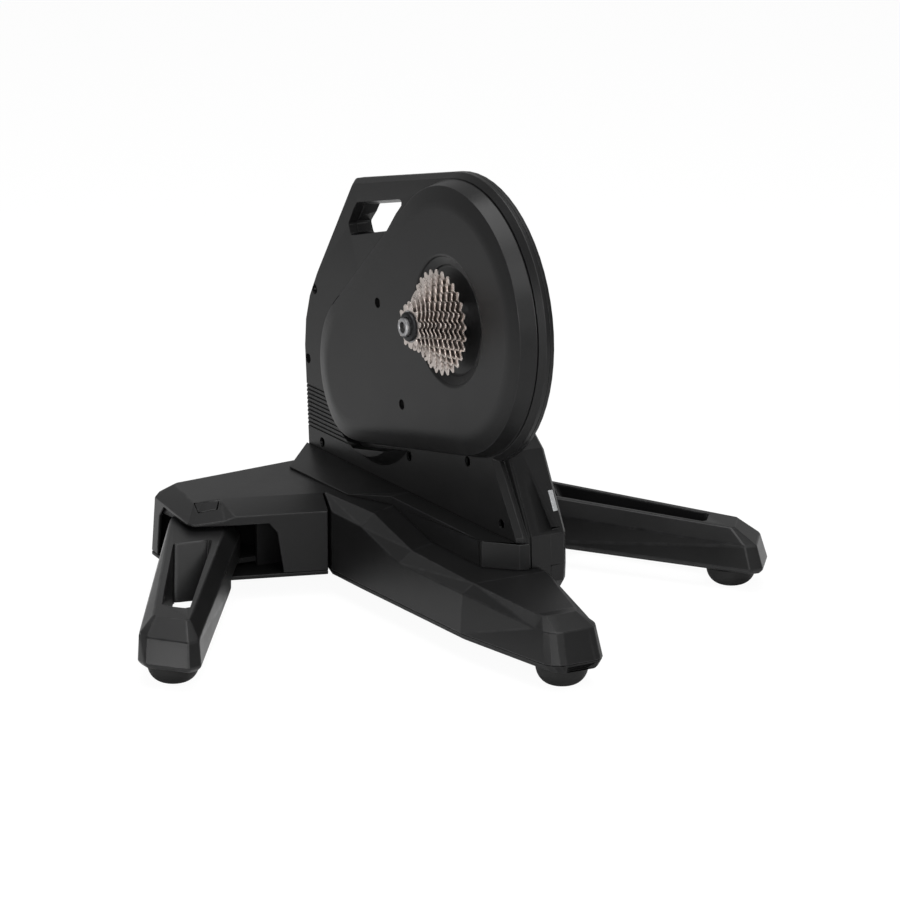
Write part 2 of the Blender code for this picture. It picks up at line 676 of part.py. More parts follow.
def hinge_pin(side, mat):
    sign = -1 if side == "right" else 1
    head = PIN_R + 0.004
    under = CROSS_Z + GAP
    top = under + PIN_HEAD_T
    profile = [(0.0, SHELL_Z), (PIN_R, SHELL_Z), (PIN_R, under), (head, under), (head, top), (0.0, top)]
    return turned("hinge_pin_" + side, profile, (HINGE_X, sign * HINGE_Y), 24, mat, upright=True)


# Casing

def casing_loop(draw):
    """Outline of the casing in x and z, drawn in by a distance. Every draw gives as many points."""
    top_start, ring_end = 102.5, -67.0
    foot = ROOF_Z + GAP
    deck = BEAM_DECK_Z + GAP
    rear = [(-0.3735, foot), (-0.378, 0.180), (-CASING_REAR, 0.237), (-0.379, 0.270), (-0.369, 0.301),
            (-0.350, 0.333)]
    ring = arc((0.0, AXLE_Z), RING_R, top_start, ring_end, 28)
    slope = math.tan(math.radians(top_start - 90.0))
    start = ring[0]
    corner = (-0.262, start[1] - (start[0] + 0.262) * slope)
    front = [(0.114, 0.126), (0.116, deck), (-BEAM_FLAT_X + 0.003, deck), (-BEAM_STEP_X + 0.003, foot)]
    loop = rear + [corner] + ring + front
    under = min(draw, CASING_SHOULDER + CASING_WALL)
    loop = inset(loop, [draw] * (len(loop) - 3) + [under] * 3)
    at = len(rear)
    fillet = rounded([loop[at - 1], loop[at], loop[at + 1]], max(CORNER_R - draw, 0.003), 4)[5:10]
    return loop[:at] + fillet + loop[at + 1:]


def casing_ring(draw, y):
    return [(x, y, z) for x, z in casing_loop(draw)]


def handle_ring(grow, y):
    """The hand hole, whose front end runs along the belt cover. Its upper side falls towards the back."""
    fall = HANDLE_FALL * (y - CASING_FACE) / (CASING_BACK - CASING_FACE)
    loop = [(-0.269, 0.404), (-0.248, 0.433 - fall), (-0.137, 0.4586 - fall), (-0.180, 0.4125),
            (-0.263, 0.391)]
    return [(x, y, z) for x, z in rounded(inset(loop, -grow), 0.004 + grow, 3)]


def handle_core(name, grow, low, high):
    return loft(name, [handle_ring(grow, low), handle_ring(grow, high)])


def cut_round(obj, places, radius, low, high, operation="DIFFERENCE"):
    """The same round cut at several places."""
    for centre in places:
        cut(obj, turned("round", disc(radius, low, high), centre, SCREW_STEPS), operation)


def screw_recess(centre, face, deep):
    """A recess for the head and a through hole for the shank, as one turned tool."""
    floor = face + RECESS_SCREW_D
    profile = [(0.0, face - 0.02), (RECESS_SCREW_R, face - 0.02), (RECESS_SCREW_R, floor),
               (SCREW_R + GAP, floor), (SCREW_R + GAP, floor + deep), (0.0, floor + deep)]
    return turned("recess", profile, centre, SCREW_STEPS)


def chassis_slot(name):
    """Where the two feet of the chassis plate pass through the covers."""
    y0, y1 = CHASSIS_Y - SLOT_GAP, CHASSIS_Y + CHASSIS_T + SLOT_GAP
    z0, z1 = BAR_Z, ROOF_Z + CASING_SHOULDER + CASING_WALL + 0.002
    rear = box("slot_rear", (CROSS_X0 + 0.003, y0, z0), (CROSS_X1 - 0.003, y1, z1))
    front = box("slot_front", (-0.092, y0, z0), (0.012, y1, z1))
    return joined(name, [rear, front])


def casing_drive_half(mat):
    face, seam, wall = CASING_FACE, CASING_SEAM - GAP / 2, CASING_WALL
    full = face + CASING_SHOULDER
    obj = loft("casing_drive_half", [casing_ring(CASING_SHOULDER, face), casing_ring(0.0, full),
                                     casing_ring(0.0, seam)], mat)
    hollow = loft("cutter_drive_hollow", [casing_ring(CASING_SHOULDER + wall, face + wall),
                                          casing_ring(wall, full + wall), casing_ring(wall, seam + 0.01)])
    cut(hollow, handle_core("cutter_handle_wall_drive", HANDLE_WALL, face - 0.01, seam + 0.02))
    cut_round(hollow, CASING_SCREWS, RECESS_SCREW_R + SCREW_WALL, face, seam + 0.02)
    cut(obj, hollow)
    cut(obj, tail_boss("cutter_tail_boss"), "UNION")
    for centre in CASING_SCREWS:
        cut(obj, screw_recess(centre, face, 0.01))
    cut(obj, handle_core("cutter_handle_drive", 0.0, face - 0.02, seam + 0.02))
    for x, z, radius in ((0.0, AXLE_Z, HUB_HOLE_R), (TAIL_X, TAIL_Z, SHAFT_R + RUN_GAP)):
        cut(obj, turned("cutter_face_hole", disc(radius, face - 0.03, seam), (x, z), 24))
    cut_round(obj, COVER_SCREWS, SCREW_R + GAP, face - 0.03, face + 0.02)
    cut(obj, vent_grooves())
    cut(obj, chassis_slot("cutter_casing_slot"))
    return obj


def tail_boss(name):
    """The round boss behind the tail of the belt cover. Only what the cover leaves free is kept."""
    foot = CASING_FACE + 0.0015
    profile = [(0.0, BOSS_Y), (BOSS_R, BOSS_Y), (BOSS_FOOT_R, foot), (0.0, foot)]
    boss = turned(name, profile, (TAIL_X, TAIL_Z), 48)
    grow = COVER_DRAFT + GAP * 2
    cut(boss, extrude_y("cutter_cover_shape", cover_loop(grow), BOSS_Y - 0.02, CASING_FACE + 0.02))
    return boss


def vent_grooves():
    """Grooves across the lower rear of the face, from the rear edge to the belt cover."""
    grooves = []
    for k in range(VENT_COUNT):
        z = VENT_Z + VENT_PITCH * k
        reach = math.sqrt(max(0.0, (BOSS_FOOT_R + 0.001) ** 2 - (z - TAIL_Z) ** 2))
        grooves.append(box("groove", (-CASING_REAR - 0.01, CASING_FACE - 0.01, z - VENT_W / 2),
                           (TAIL_X - reach, CASING_FACE + VENT_D, z + VENT_W / 2)))
    return joined("cutter_vents", grooves)


def housing_rings(wall):
    """The lower housing behind the casing, which holds the electronics."""
    front_x, front_z, foot_x = 0.068, 0.211, 0.1175
    back, edge = NECK_BACK - wall, NECK_EDGE
    start = CASING_FULL - (0.0 if wall == 0.0 else 0.003)
    bottom = ROOF_Z + GAP
    deck = BEAM_DECK_Z + GAP

    def loop(top):
        return [(-0.330, bottom), (-0.330, top - 0.045), (-0.300, top), (0.005, top), (0.035, top - 0.02),
                (front_x, front_z), (0.1160, 0.126), (foot_x, deck), (-BEAM_FLAT_X + 0.003, deck),
                (-BEAM_STEP_X + 0.003, bottom)]
    big = inset(loop(HOUSING_TOP), wall)
    mid = inset(loop(HOUSING_TOP - 0.012), wall)
    small = inset(loop(HOUSING_TOP - 0.012), wall + edge)
    return [[(x, start, z) for x, z in big], [(x, CASING_BACK, z) for x, z in big],
            [(x, back - edge, z) for x, z in mid], [(x, back, z) for x, z in small]]


def cheek_rings(wall):
    """The part of the housing that reaches down beside the beam."""
    start = BEAM_HALF + GAP + wall
    back, edge = NECK_BACK - wall, NECK_EDGE
    top = ROOF_Z + 0.020 if wall else ROOF_Z + 0.015
    low = CHEEK_Z
    loop = [(-0.120, top), (-0.120, low + 0.008), (-0.112, low), (0.100, low), (0.1165, low + 0.021),
            (0.1175, BEAM_DECK_Z), (0.1163, top)]
    if wall:
        loop = inset(loop, [wall, wall, wall, wall, wall, wall, -0.002])
    inner = inset(loop, edge) if not wall else inset(loop, [edge] * 6 + [0.0])
    return [[(x, start, z) for x, z in loop], [(x, back - edge, z) for x, z in loop],
            [(x, back, z) for x, z in inner]]


def casing_back_half(mat):
    seam, full, back, wall = CASING_SEAM + GAP / 2, CASING_FULL, CASING_BACK, CASING_WALL
    taper = CASING_TAPER * (back - full)
    rings = [casing_ring(0.0, seam), casing_ring(0.0, full), casing_ring(taper, back)]
    obj = loft("casing_back_half", rings, mat)
    cut(obj, loft("cutter_housing", housing_rings(0.0)), "UNION")
    cut(obj, loft("cutter_cheek", cheek_rings(0.0)), "UNION")
    hollow = loft("cutter_back_hollow", [casing_ring(wall, seam - 0.01), casing_ring(wall, full - 0.0005),
                                         casing_ring(taper + wall, back - wall)])
    cut(hollow, handle_core("cutter_handle_wall_back", HANDLE_WALL, seam - 0.02, back + 0.01))
    housing = loft("cutter_housing_hollow", housing_rings(wall))
    for inside in (hollow, housing):
        cut_round(inside, CASING_SCREWS, SCREW_R + SCREW_WALL, seam - 0.02, NECK_BACK + 0.01)
        cut(obj, inside)
    cut(obj, loft("cutter_cheek_hollow", cheek_rings(wall)))
    seat = FLYWHEEL_Y + FLYWHEEL_W + RUN_GAP
    bosses = ((0.0, AXLE_Z, 0.015, seam, back - 0.001),
              (TAIL_X, TAIL_Z, BEARING_R + CASING_WALL, seat, NECK_BACK - 0.001))
    for x, z, radius, y0, y1 in bosses:
        cut(obj, turned("boss", disc(radius, y0, y1), (x, z), 24), "UNION")
    cut(obj, turned("cutter_axle_bore", disc(AXLE_R + GAP, seam - 0.01, back + 0.01), (0.0, AXLE_Z), 24))
    cut(obj, turned("cutter_bearing_seat", disc(BEARING_R + GAP, seat - RUN_GAP, seat + BEARING_W + GAP),
                    (TAIL_X, TAIL_Z), 24))
    cut_round(obj, CASING_SCREWS, SCREW_R + GAP, seam - 0.01, seam + 0.009)
    cut(obj, handle_core("cutter_handle_back", 0.0, seam - 0.02, back + 0.02))
    cut(obj, light_block("cutter_light", SLOT_GAP / 2, 0.010))
    hole = disc(SOCKET_R + GAP, NECK_BACK - 0.01, NECK_BACK + 0.01)
    cut(obj, turned("cutter_socket", hole, SOCKET_AT, 24))
    return obj


def light_block(name, grow, depth, mat=None):
    """A bar let into the neck's front wall."""
    along = Vector((0.4917, -0.8707))
    out = Vector((0.8707, 0.4917))
    half = LIGHT_LONG / 2 + grow
    at = Vector(LIGHT_AT)
    loop = [at - along * half - out * depth, at + along * half - out * depth,
            at + along * half + out * 0.0002, at - along * half + out * 0.0002]
    if grow:
        loop[2] = at + along * half + out * 0.005
        loop[3] = at - along * half + out * 0.005
    return extrude_y(name, [tuple(p) for p in loop], LIGHT_Y - grow, LIGHT_Y + LIGHT_WIDE + grow, mat)


def power_socket(mat):
    face = NECK_BACK + GAP
    bore = SOCKET_BORE_R
    profile = [(0.0, face - 0.012), (SOCKET_R, face - 0.012), (SOCKET_R, face), (SOCKET_R + 0.003, face),
               (SOCKET_R + 0.003, face + 0.0015), (bore, face + 0.0015), (bore, face - 0.009),
               (0.001, face - 0.009), (0.001, face - 0.001), (0.0, face - 0.001)]
    return turned("power_socket", profile, SOCKET_AT, 24, mat)


def skirt_rings():
    """The collar along the foot of the casing on the drive side. Its underside is cut by the base."""
    inner = CASING_FACE - GAP
    deep, top, lift = SKIRT_DEEP, SKIRT_Z, ROOF_Z + SKIRT_LIFT
    # x at the casing, x at the outer edge, y of the outer edge, height of the outer edge
    rows = ((-0.372, -0.3715, inner - 0.001, top), (-0.330, -0.314, -0.034, lift),
            (-0.178, -0.178, -0.032, lift), (-0.125, -0.120, -0.008, top + 0.001),
            (0.086, 0.086, -0.009, top + 0.001))
    return [[(x, inner, deep), (outer_x, y, deep), (outer_x, y, z), (x, inner, top)]
            for x, outer_x, y, z in rows]


def skirt_drive(mat):
    """A long collar beside the face, and a short one round the front corner up to the seam."""
    rings = skirt_rings()
    inner, seam = CASING_FACE - GAP, CASING_SEAM - GAP
    deep, top = SKIRT_DEEP, SKIRT_Z
    obj = loft("skirt_drive", rings, mat)
    nose_x = 0.1165
    loop = [(0.080, -0.009), (0.086, -0.009), (nose_x + 0.001, inner), (nose_x + 0.004, seam),
            (nose_x, seam), (nose_x, inner), (0.080, inner)]
    cut(obj, extrude_z("cutter_skirt_nose", loop, deep, top + 0.0008), "UNION")
    cut_by_base(obj, "drive")
    return obj


def skirt_back(mat):
    """The collar on the other side, along the foot of the lower housing."""
    inner = NECK_BACK + GAP
    outer = inner + 0.026
    deep, top, lift = SKIRT_DEEP, SKIRT_Z, ROOF_Z + SKIRT_LIFT
    rows = ((-0.329, -0.328, inner + 0.001, top), (-0.322, -0.312, outer, lift),
            (-0.232, -0.236, outer, lift), (-0.212, -0.208, inner + 0.001, top))
    rings = [[(x, inner, deep), (outer_x, y, deep), (outer_x, y, z), (x, inner, top)]
             for x, outer_x, y, z in rows]
    obj = loft("skirt_back", rings, mat)
    cut_by_base(obj, "back")
    return obj


def cut_by_base(obj, name):
    cut(obj, loft("cutter_under_beam_" + name, raise_ring(beam_stations(), GAP), end=BEAM_END))
    for side in ("right", "left"):
        cut(obj, loft("cutter_under_arm_" + side + "_" + name, raise_ring(grown_arm(side), GAP)))


def grown_arm(side):
    """The arm's outer shape, run a little past the middle so that the halves meet."""
    rings = []
    for ring in arm_rings():
        rings.append([(x, y if y < -GAP else GAP, z) for x, y, z in ring])
    return sided(rings, side)


def chassis_plate(mat):
    """The plate that carries the axle and the flywheel, standing on the spine frame."""
    low, mid = CROSS_Z + GAP, ROOF_Z + CASING_SHOULDER + CASING_WALL + 0.001
    loop = [(CROSS_X0 + 0.004, low), (CROSS_X0 + 0.004, 0.190)]
    loop += arc((TAIL_X, TAIL_Z), 0.052, 185.0, 118.0, 6)
    loop += arc((0.0, AXLE_Z), 0.040, 118.0, -35.0, 10)
    loop += [(0.010, 0.205), (0.011, BAR_Z + GAP), (-0.091, BAR_Z + GAP), (-0.091, mid),
             (CROSS_X1 - 0.004, mid), (CROSS_X1 - 0.004, low)]
    obj = extrude_y("chassis_plate", loop, CHASSIS_Y, CHASSIS_Y + CHASSIS_T, mat)
    low_y, high_y = CHASSIS_Y - 0.01, CHASSIS_Y + CHASSIS_T + 0.01
    cut(obj, turned("cutter_chassis_axle", disc(AXLE_R + GAP, low_y, high_y), (0.0, AXLE_Z), 24))
    cut(obj, turned("cutter_chassis_bearing", disc(BEARING_R + GAP, low_y, high_y), (TAIL_X, TAIL_Z), 24))
    cut_round(obj, CASING_SCREWS, RECESS_SCREW_R + SCREW_WALL + 0.001, low_y, high_y)
    cut_round(obj, COVER_SCREWS, SCREW_R + GAP, low_y, high_y)
    return obj


# Belt cover

def cover_loop(grow):
    """Outline of the belt cover: a big disc, a tail, an upper tangent and a straight lower side."""
    big, tail = COVER_R + grow, COVER_TAIL_R + grow
    apart = Vector((-TAIL_X, AXLE_Z - TAIL_Z))
    lean = math.degrees(math.atan2(apart.y, apart.x) + math.asin((big - tail) / apart.length))
    low = math.radians(COVER_LOW_ANGLE)
    out = Vector((math.cos(low), math.sin(low)))
    reach = (Vector((TAIL_X, TAIL_Z - AXLE_Z)).dot(out))
    depth = big - reach
    half = math.degrees(math.acos(min(1.0, depth / tail)))
    loop = arc((0.0, AXLE_Z), big, 90.0 + lean, COVER_LOW_ANGLE, 30)
    return loop + arc((TAIL_X, TAIL_Z), tail, COVER_LOW_ANGLE - half + 360.0, 90.0 + lean, 14)


def cover_rings(wall):
    base = CASING_FACE - GAP + (0.01 if wall else 0.0)
    levels = ((COVER_FLAT + wall, -COVER_BAND - wall * 0.3), (COVER_EDGE + wall * 0.4, -wall),
              (base, COVER_DRAFT - wall))
    return [[(x, y, z) for x, z in cover_loop(grow)] for y, grow in levels]


def belt_cover(mat):
    obj = loft("belt_cover", cover_rings(0.0), mat)
    hollow = loft("cutter_cover_hollow", cover_rings(COVER_WALL))
    cup = turned("cutter_cup", disc(RECESS_R + COVER_WALL, COVER_FLAT - 0.01, RECESS_FLOOR + COVER_WALL),
                 (0.0, AXLE_Z), 40)
    cut(hollow, cup)
    cut_round(hollow, COVER_SCREWS, RECESS_SCREW_R + SCREW_WALL, COVER_FLAT - 0.01, CASING_FACE + 0.03)
    cut(obj, hollow)
    cut(obj, turned("cutter_recess", disc(RECESS_R, COVER_FLAT - 0.01, RECESS_FLOOR), (0.0, AXLE_Z), 40))
    cut(obj, turned("cutter_hub_hole", disc(HUB_HOLE_R, COVER_FLAT - 0.01, CASING_FACE), (0.0, AXLE_Z), 24))
    for centre in COVER_SCREWS:
        cut(obj, screw_recess(centre, COVER_FLAT, 0.03))
    return obj


def screws(name, places, face, long, mat):
    """Pan head screws seated in their recesses."""
    floor = face + RECESS_SCREW_D - GAP
    top = floor - SCREW_HEAD_T
    profile = [(0.0, top), (SCREW_HEAD_R, top), (SCREW_HEAD_R, floor), (SCREW_R, floor),
               (SCREW_R, floor + long), (0.0, floor + long)]
    for index, centre in enumerate(places):
        turned("%s_%d" % (name, index + 1), profile, centre, SCREW_STEPS, mat)


# Belt, pulleys and flywheel

def large_pulley(mat):
    """A wheel with a web, a rim, a hub and six lightening holes."""
    y0, y1 = PULLEY_Y, PULLEY_Y + PULLEY_W
    web0, web1 = y0 + 0.004, y1 - 0.004
    inner, rim = BODY_R, PULLEY_R - 0.010
    hub = FREEHUB_R + 0.004
    profile = [(inner, y0), (hub, y0), (hub, web0), (rim, web0), (rim, y0), (PULLEY_R, y0), (PULLEY_R, y1),
               (rim, y1), (rim, web1), (hub, web1), (hub, y1), (inner, y1)]
    obj = turned("large_pulley", profile, (0.0, AXLE_Z), 36, mat)
    holes = []
    for k in range(6):
        a = 2 * math.pi * k / 6
        centre = (0.068 * math.cos(a), AXLE_Z + 0.068 * math.sin(a))
        holes.append(turned("hole", disc(0.018, y0 - 0.01, y1 + 0.01), centre, 10))
    cut(obj, joined("cutter_pulley_holes", holes))
    return obj


def belt(mat):
    """A flat ribbed belt round both pulleys."""
    apart = Vector((-TAIL_X, AXLE_Z - TAIL_Z))
    base = math.degrees(math.atan2(apart.y, apart.x))
    lean = math.degrees(math.asin((PULLEY_R - SMALL_R) / apart.length))

    def loop(extra):
        big = arc((0.0, AXLE_Z), PULLEY_R + extra, base + lean + 90.0, base - lean - 90.0, 34)
        return big + arc((TAIL_X, TAIL_Z), SMALL_R + extra, base - lean - 90.0, base + lean - 270.0, 8)
    inner, outer = loop(GAP), loop(GAP + BELT_T)
    y0, y1 = PULLEY_Y + 0.0005, PULLEY_Y + PULLEY_W - 0.0005
    rings = [[(x, y0, z) for x, z in inner], [(x, y0, z) for x, z in outer],
             [(x, y1, z) for x, z in outer], [(x, y1, z) for x, z in inner]]
    count = len(inner)
    verts = [point for ring in rings for point in ring]
    faces = []
    for level in range(4):
        a, b = level * count, (level + 1) % 4 * count
        for i in range(count):
            j = (i + 1) % count
            faces.append((a + i, a + j, b + j, b + i))
    return mesh_object("belt", verts, faces, mat)


def flywheel_shaft(mat):
    """The shaft, with the small belt pulley turned on its front end."""
    end = FLYWHEEL_Y + FLYWHEEL_W + RUN_GAP + BEARING_W
    pulley_end = PULLEY_Y + PULLEY_W
    profile = [(0.0, PULLEY_Y), (SMALL_R, PULLEY_Y), (SMALL_R, pulley_end), (SHAFT_R, pulley_end), (SHAFT_R, end),
               (0.0, end)]
    return turned("flywheel_shaft", profile, (TAIL_X, TAIL_Z), 32, mat)


def flywheel(mat):
    y0, y1 = FLYWHEEL_Y, FLYWHEEL_Y + FLYWHEEL_W
    web, rim = 0.030, 0.080
    profile = [(SHAFT_R + GAP, y0), (web, y0), (web, y0 + 0.002), (rim, y0 + 0.002), (rim, y0), (FLYWHEEL_R, y0),
               (FLYWHEEL_R, y1), (rim, y1), (rim, y1 - 0.002), (web, y1 - 0.002), (web, y1), (SHAFT_R + GAP, y1)]
    return turned("flywheel", profile, (TAIL_X, TAIL_Z), 32, mat)


def bearings(mat):
    chassis = tube(SHAFT_R + GAP, BEARING_R, CHASSIS_Y, CHASSIS_Y + CHASSIS_T)
    seat = FLYWHEEL_Y + FLYWHEEL_W + RUN_GAP
    rear = tube(SHAFT_R + GAP, BEARING_R, seat, seat + BEARING_W)
    at = (TAIL_X, TAIL_Z)
    turned("flywheel_bearing_front", chassis, at, 16, mat)
    turned("flywheel_bearing_rear", rear, at, 16, mat)
    outer = BODY_R - GAP
    front = tube(AXLE_R + GAP, outer, STACK_END + 0.002, STACK_END + 0.009)
    back = tube(AXLE_R + GAP, outer, PULLEY_Y + 0.002, PULLEY_Y + 0.009)
    at = (0.0, AXLE_Z)
    turned("hub_bearing_front", front, at, 16, mat)
    turned("hub_bearing_rear", back, at, 16, mat)


def brake(steel, magnet):
    """A curved magnet with its poles towards the flywheel's rim, on a yoke."""
    y1 = FLYWHEEL_Y + FLYWHEEL_W
    face = FLYWHEEL_R + RUN_GAP
    at = (TAIL_X, TAIL_Z)
    half, pole = 34.0, 4.0
    back = arc(at, face + MAGNET_T, BRAKE_TURN - half, BRAKE_TURN + half, 12)
    front = []
    for k in range(6):
        middle = BRAKE_TURN + half - pole - k * (2 * half - 2 * pole) / 5
        front += arc(at, face, middle + pole, middle - pole, 2)
        if k < 5:
            front += arc(at, face + MAGNET_T / 2, middle - pole, middle + pole - (2 * half - 2 * pole) / 5, 1)
    extrude_y("brake_magnet", back + front, FLYWHEEL_Y, y1, magnet)
    inner = face + MAGNET_T + GAP
    start, end = BRAKE_TURN - half - 4.0, BRAKE_TURN + half + 4.0
    loop = arc(at, inner + YOKE_T, start, end, 12) + arc(at, inner, end, start, 12)
    extrude_y("brake_yoke", loop, CHASSIS_Y + CHASSIS_T + GAP, y1, steel)


def control_board(mat):
    """A circuit board with three parts on it, lying on the housing's back wall."""
    back = NECK_BACK - CASING_WALL - GAP
    board = box("control_board", (-0.112, back - 0.004, 0.125), (-0.012, back, 0.190), mat)
    for index, (x, z, w, h, d) in enumerate(((-0.092, 0.145, 0.014, 0.014, 0.003),
                                             (-0.057, 0.155, 0.018, 0.024, 0.012),
                                             (-0.030, 0.173, 0.020, 0.010, 0.008))):
        part = box("cutter_board_%d" % index, (x - w / 2, back - 0.004 - d, z - h / 2),
                   (x + w / 2, back - 0.002, z + h / 2))
        cut(board, part, "UNION")
    return board


# Cassette, freehub and axle

def sprocket_outline(teeth):
    """Three points for each tooth, from the chain's pitch circle."""
    pitch_r = CHAIN_PITCH / 2 / math.sin(math.pi / teeth)
    tip, root = pitch_r + TOOTH_RISE, pitch_r - TOOTH_ROOT
    step = 2 * math.pi / teeth
    out = []
    for k in range(teeth):
        for share, radius in ((-0.10, tip), (0.10, tip), (0.50, root)):
            a = (k + share) * step
            out.append((radius * math.cos(a), AXLE_Z + radius * math.sin(a)))
    return out


def sprocket(teeth, y, collar, mat):
    """A toothed plate with the collar that spaces it from the next one."""
    name = "sprocket_%d" % teeth
    half = SPROCKET_T / 2
    at = (0.0, 0.0, AXLE_Z)
    obj = extrude_y(name, sprocket_outline(teeth), y - half, y + half, mat, at)
    end = y + half
    if collar:
        end = y + SPROCKET_PITCH - half - GAP
        outer = FREEHUB_R + COLLAR_T
        cut(obj, turned("collar", disc(outer, y, end), (0.0, AXLE_Z), 20), "UNION")
    bore = arc((0.0, AXLE_Z), FREEHUB_R + GAP, 0.0, 360.0 * 19 / 20, 19)
    cut(obj, extrude_y("bore", bore, y - half - 0.001, end + 0.001))
    return obj


def cassette(steel, dark, grey):
    for index, teeth in enumerate(reversed(TEETH)):
        sprocket(teeth, CASSETTE_Y - SPROCKET_PITCH * index, index > 0, steel)
    top = STACK_END - GAP
    inner = AXLE_R + 0.0045
    ring = [(inner, top - LOCKRING_T), (LOCKRING_R - 0.001, top - LOCKRING_T), (LOCKRING_R, top - LOCKRING_T + 0.001),
            (LOCKRING_R, top), (inner, top)]
    turned("lockring", ring, (0.0, AXLE_Z), 28, dark)
    shoulder = CASSETTE_Y + SPROCKET_T / 2 + GAP
    outer = FREEHUB_R + 0.0025
    body = [(BODY_R, STACK_END), (FREEHUB_R, STACK_END), (FREEHUB_R, shoulder), (outer, shoulder),
            (outer, PULLEY_Y - GAP), (BODY_R, PULLEY_Y - GAP)]
    return turned("freehub_body", body, (0.0, AXLE_Z), 28, grey)


def axle(steel, light):
    """The fixed axle, with an end piece on each side that seats in the bicycle's dropout."""
    inner = STACK_END - LOCKRING_T - GAP
    end_other = CASING_BACK + GAP
    at = (0.0, AXLE_Z)
    hole = 0.0028
    turned("axle", tube(hole, AXLE_R, inner + 0.002, end_other + 0.008), at, 24, steel)
    nose, seat = AXLE_R + 0.0035, inner + 0.002 - GAP
    drive = [(hole, DROPOUT_DRIVE), (END_R, DROPOUT_DRIVE), (END_R, DROPOUT_DRIVE + 0.0025),
             (END_R - 0.001, inner - 0.0012), (nose, inner - 0.0012), (nose, seat), (hole, seat)]
    turned("axle_end_drive", drive, at, 32, light)
    bore, stop = AXLE_R + GAP, end_other + 0.008 + GAP
    other = [(bore, end_other), (0.015, end_other), (0.015, end_other + 0.006), (END_R, end_other + 0.009),
             (END_R, DROPOUT_OTHER), (hole, DROPOUT_OTHER), (hole, stop), (bore, stop)]
    turned("axle_end_other", other, at, 24, light)


def build():
    for obj in list(bpy.data.objects):
        bpy.data.objects.remove(obj)
    shell = material("black_plastic", (0.022, 0.022, 0.023), 0.42)
    dull = material("dull_plastic", (0.015, 0.015, 0.016), 0.55)
    rubber = material("black_rubber", (0.012, 0.012, 0.012), 0.75)
    steel = material("steel", (0.55, 0.55, 0.55), 0.3, 1.0)
    painted = material("painted_steel", (0.03, 0.03, 0.032), 0.5)
    nickel = material("nickel_steel", (0.72, 0.66, 0.62), 0.28, 1.0)
    alloy = material("alloy", (0.6, 0.6, 0.61), 0.35, 1.0)
    black_metal = material("black_metal", (0.05, 0.05, 0.05), 0.4, 1.0)
    lens = material("light_lens", (0.75, 0.75, 0.75), 0.3)
    board = material("board_green", (0.02, 0.12, 0.05), 0.5)
    belt_rubber = material("belt_rubber", (0.02, 0.02, 0.02), 0.7)

    beam_cover(shell)
    beam_plate(dull)
    rear_plate(dull)
    spine_frame(painted)
    legs = {}
    for side in ("right", "left"):
        arm_cover(side, shell)
        release_button(side, shell)
        legs[side] = leg(side, shell)
        hinge_pin(side, steel)
    feet(legs, rubber)

    casing_drive_half(shell)
    casing_back_half(shell)
    skirt_drive(shell)
    skirt_back(shell)
    belt_cover(shell)
    screws("casing_screw", CASING_SCREWS, CASING_FACE, SCREW_LONG, black_metal)
    screws("cover_screw", COVER_SCREWS, COVER_FLAT, CASING_FACE + CASING_WALL + CHASSIS_T - COVER_FLAT
           - RECESS_SCREW_D, black_metal)
    light_block("status_light", 0.0, 0.0028, lens)
    power_socket(dull)
    chassis_plate(alloy)

    large_pulley(alloy)
    belt(belt_rubber)
    flywheel_shaft(steel)
    flywheel(steel)
    bearings(steel)
    brake(steel, black_metal)
    control_board(board)
    cassette(nickel, black_metal, alloy)
    axle(steel, alloy)


build()
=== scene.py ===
import json
import math

import bmesh
import bpy
from mathutils import Matrix, Vector

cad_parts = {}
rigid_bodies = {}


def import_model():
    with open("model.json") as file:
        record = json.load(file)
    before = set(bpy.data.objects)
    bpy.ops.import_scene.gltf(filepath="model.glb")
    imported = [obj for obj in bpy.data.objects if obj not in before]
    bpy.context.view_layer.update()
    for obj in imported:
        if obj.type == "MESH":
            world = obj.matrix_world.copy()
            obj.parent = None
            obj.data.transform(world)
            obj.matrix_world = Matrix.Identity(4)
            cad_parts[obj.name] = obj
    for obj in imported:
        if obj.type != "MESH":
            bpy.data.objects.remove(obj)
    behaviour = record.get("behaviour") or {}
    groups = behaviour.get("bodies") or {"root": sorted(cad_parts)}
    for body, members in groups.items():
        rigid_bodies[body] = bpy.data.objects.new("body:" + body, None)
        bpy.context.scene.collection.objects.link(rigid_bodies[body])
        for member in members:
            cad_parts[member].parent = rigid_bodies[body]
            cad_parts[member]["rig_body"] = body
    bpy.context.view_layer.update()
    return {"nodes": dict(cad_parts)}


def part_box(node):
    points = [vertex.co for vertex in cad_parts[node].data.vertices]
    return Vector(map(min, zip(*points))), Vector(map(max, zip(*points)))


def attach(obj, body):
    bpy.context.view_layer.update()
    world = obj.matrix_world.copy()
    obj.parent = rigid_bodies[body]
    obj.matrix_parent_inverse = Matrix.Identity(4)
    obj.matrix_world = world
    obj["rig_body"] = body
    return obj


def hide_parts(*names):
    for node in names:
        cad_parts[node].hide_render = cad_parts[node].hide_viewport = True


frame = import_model()


# The camera stands off to the drive side, a little above the trainer, and looks through a long lens,
# so that the trainer fills the frame with hardly any perspective.
camera_turn = math.radians(30.0)
camera_tilt = math.radians(15.6)
camera = bpy.data.objects.new("camera", bpy.data.cameras.new("camera"))
camera.data.lens = 200.0
camera.data.sensor_width = 36.0
camera.data.clip_start = 0.1
camera.data.clip_end = 60.0
camera.location = (4.677, -2.671, 1.694)
looks_along = Vector((-math.cos(camera_turn) * math.cos(camera_tilt),
                      math.sin(camera_turn) * math.cos(camera_tilt), -math.sin(camera_tilt)))
camera.rotation_mode = "QUATERNION"
camera.rotation_quaternion = looks_along.to_track_quat("-Z", "Y")
bpy.context.scene.collection.objects.link(camera)
bpy.context.scene.camera = camera
bpy.context.scene.view_settings.view_transform = "Standard"


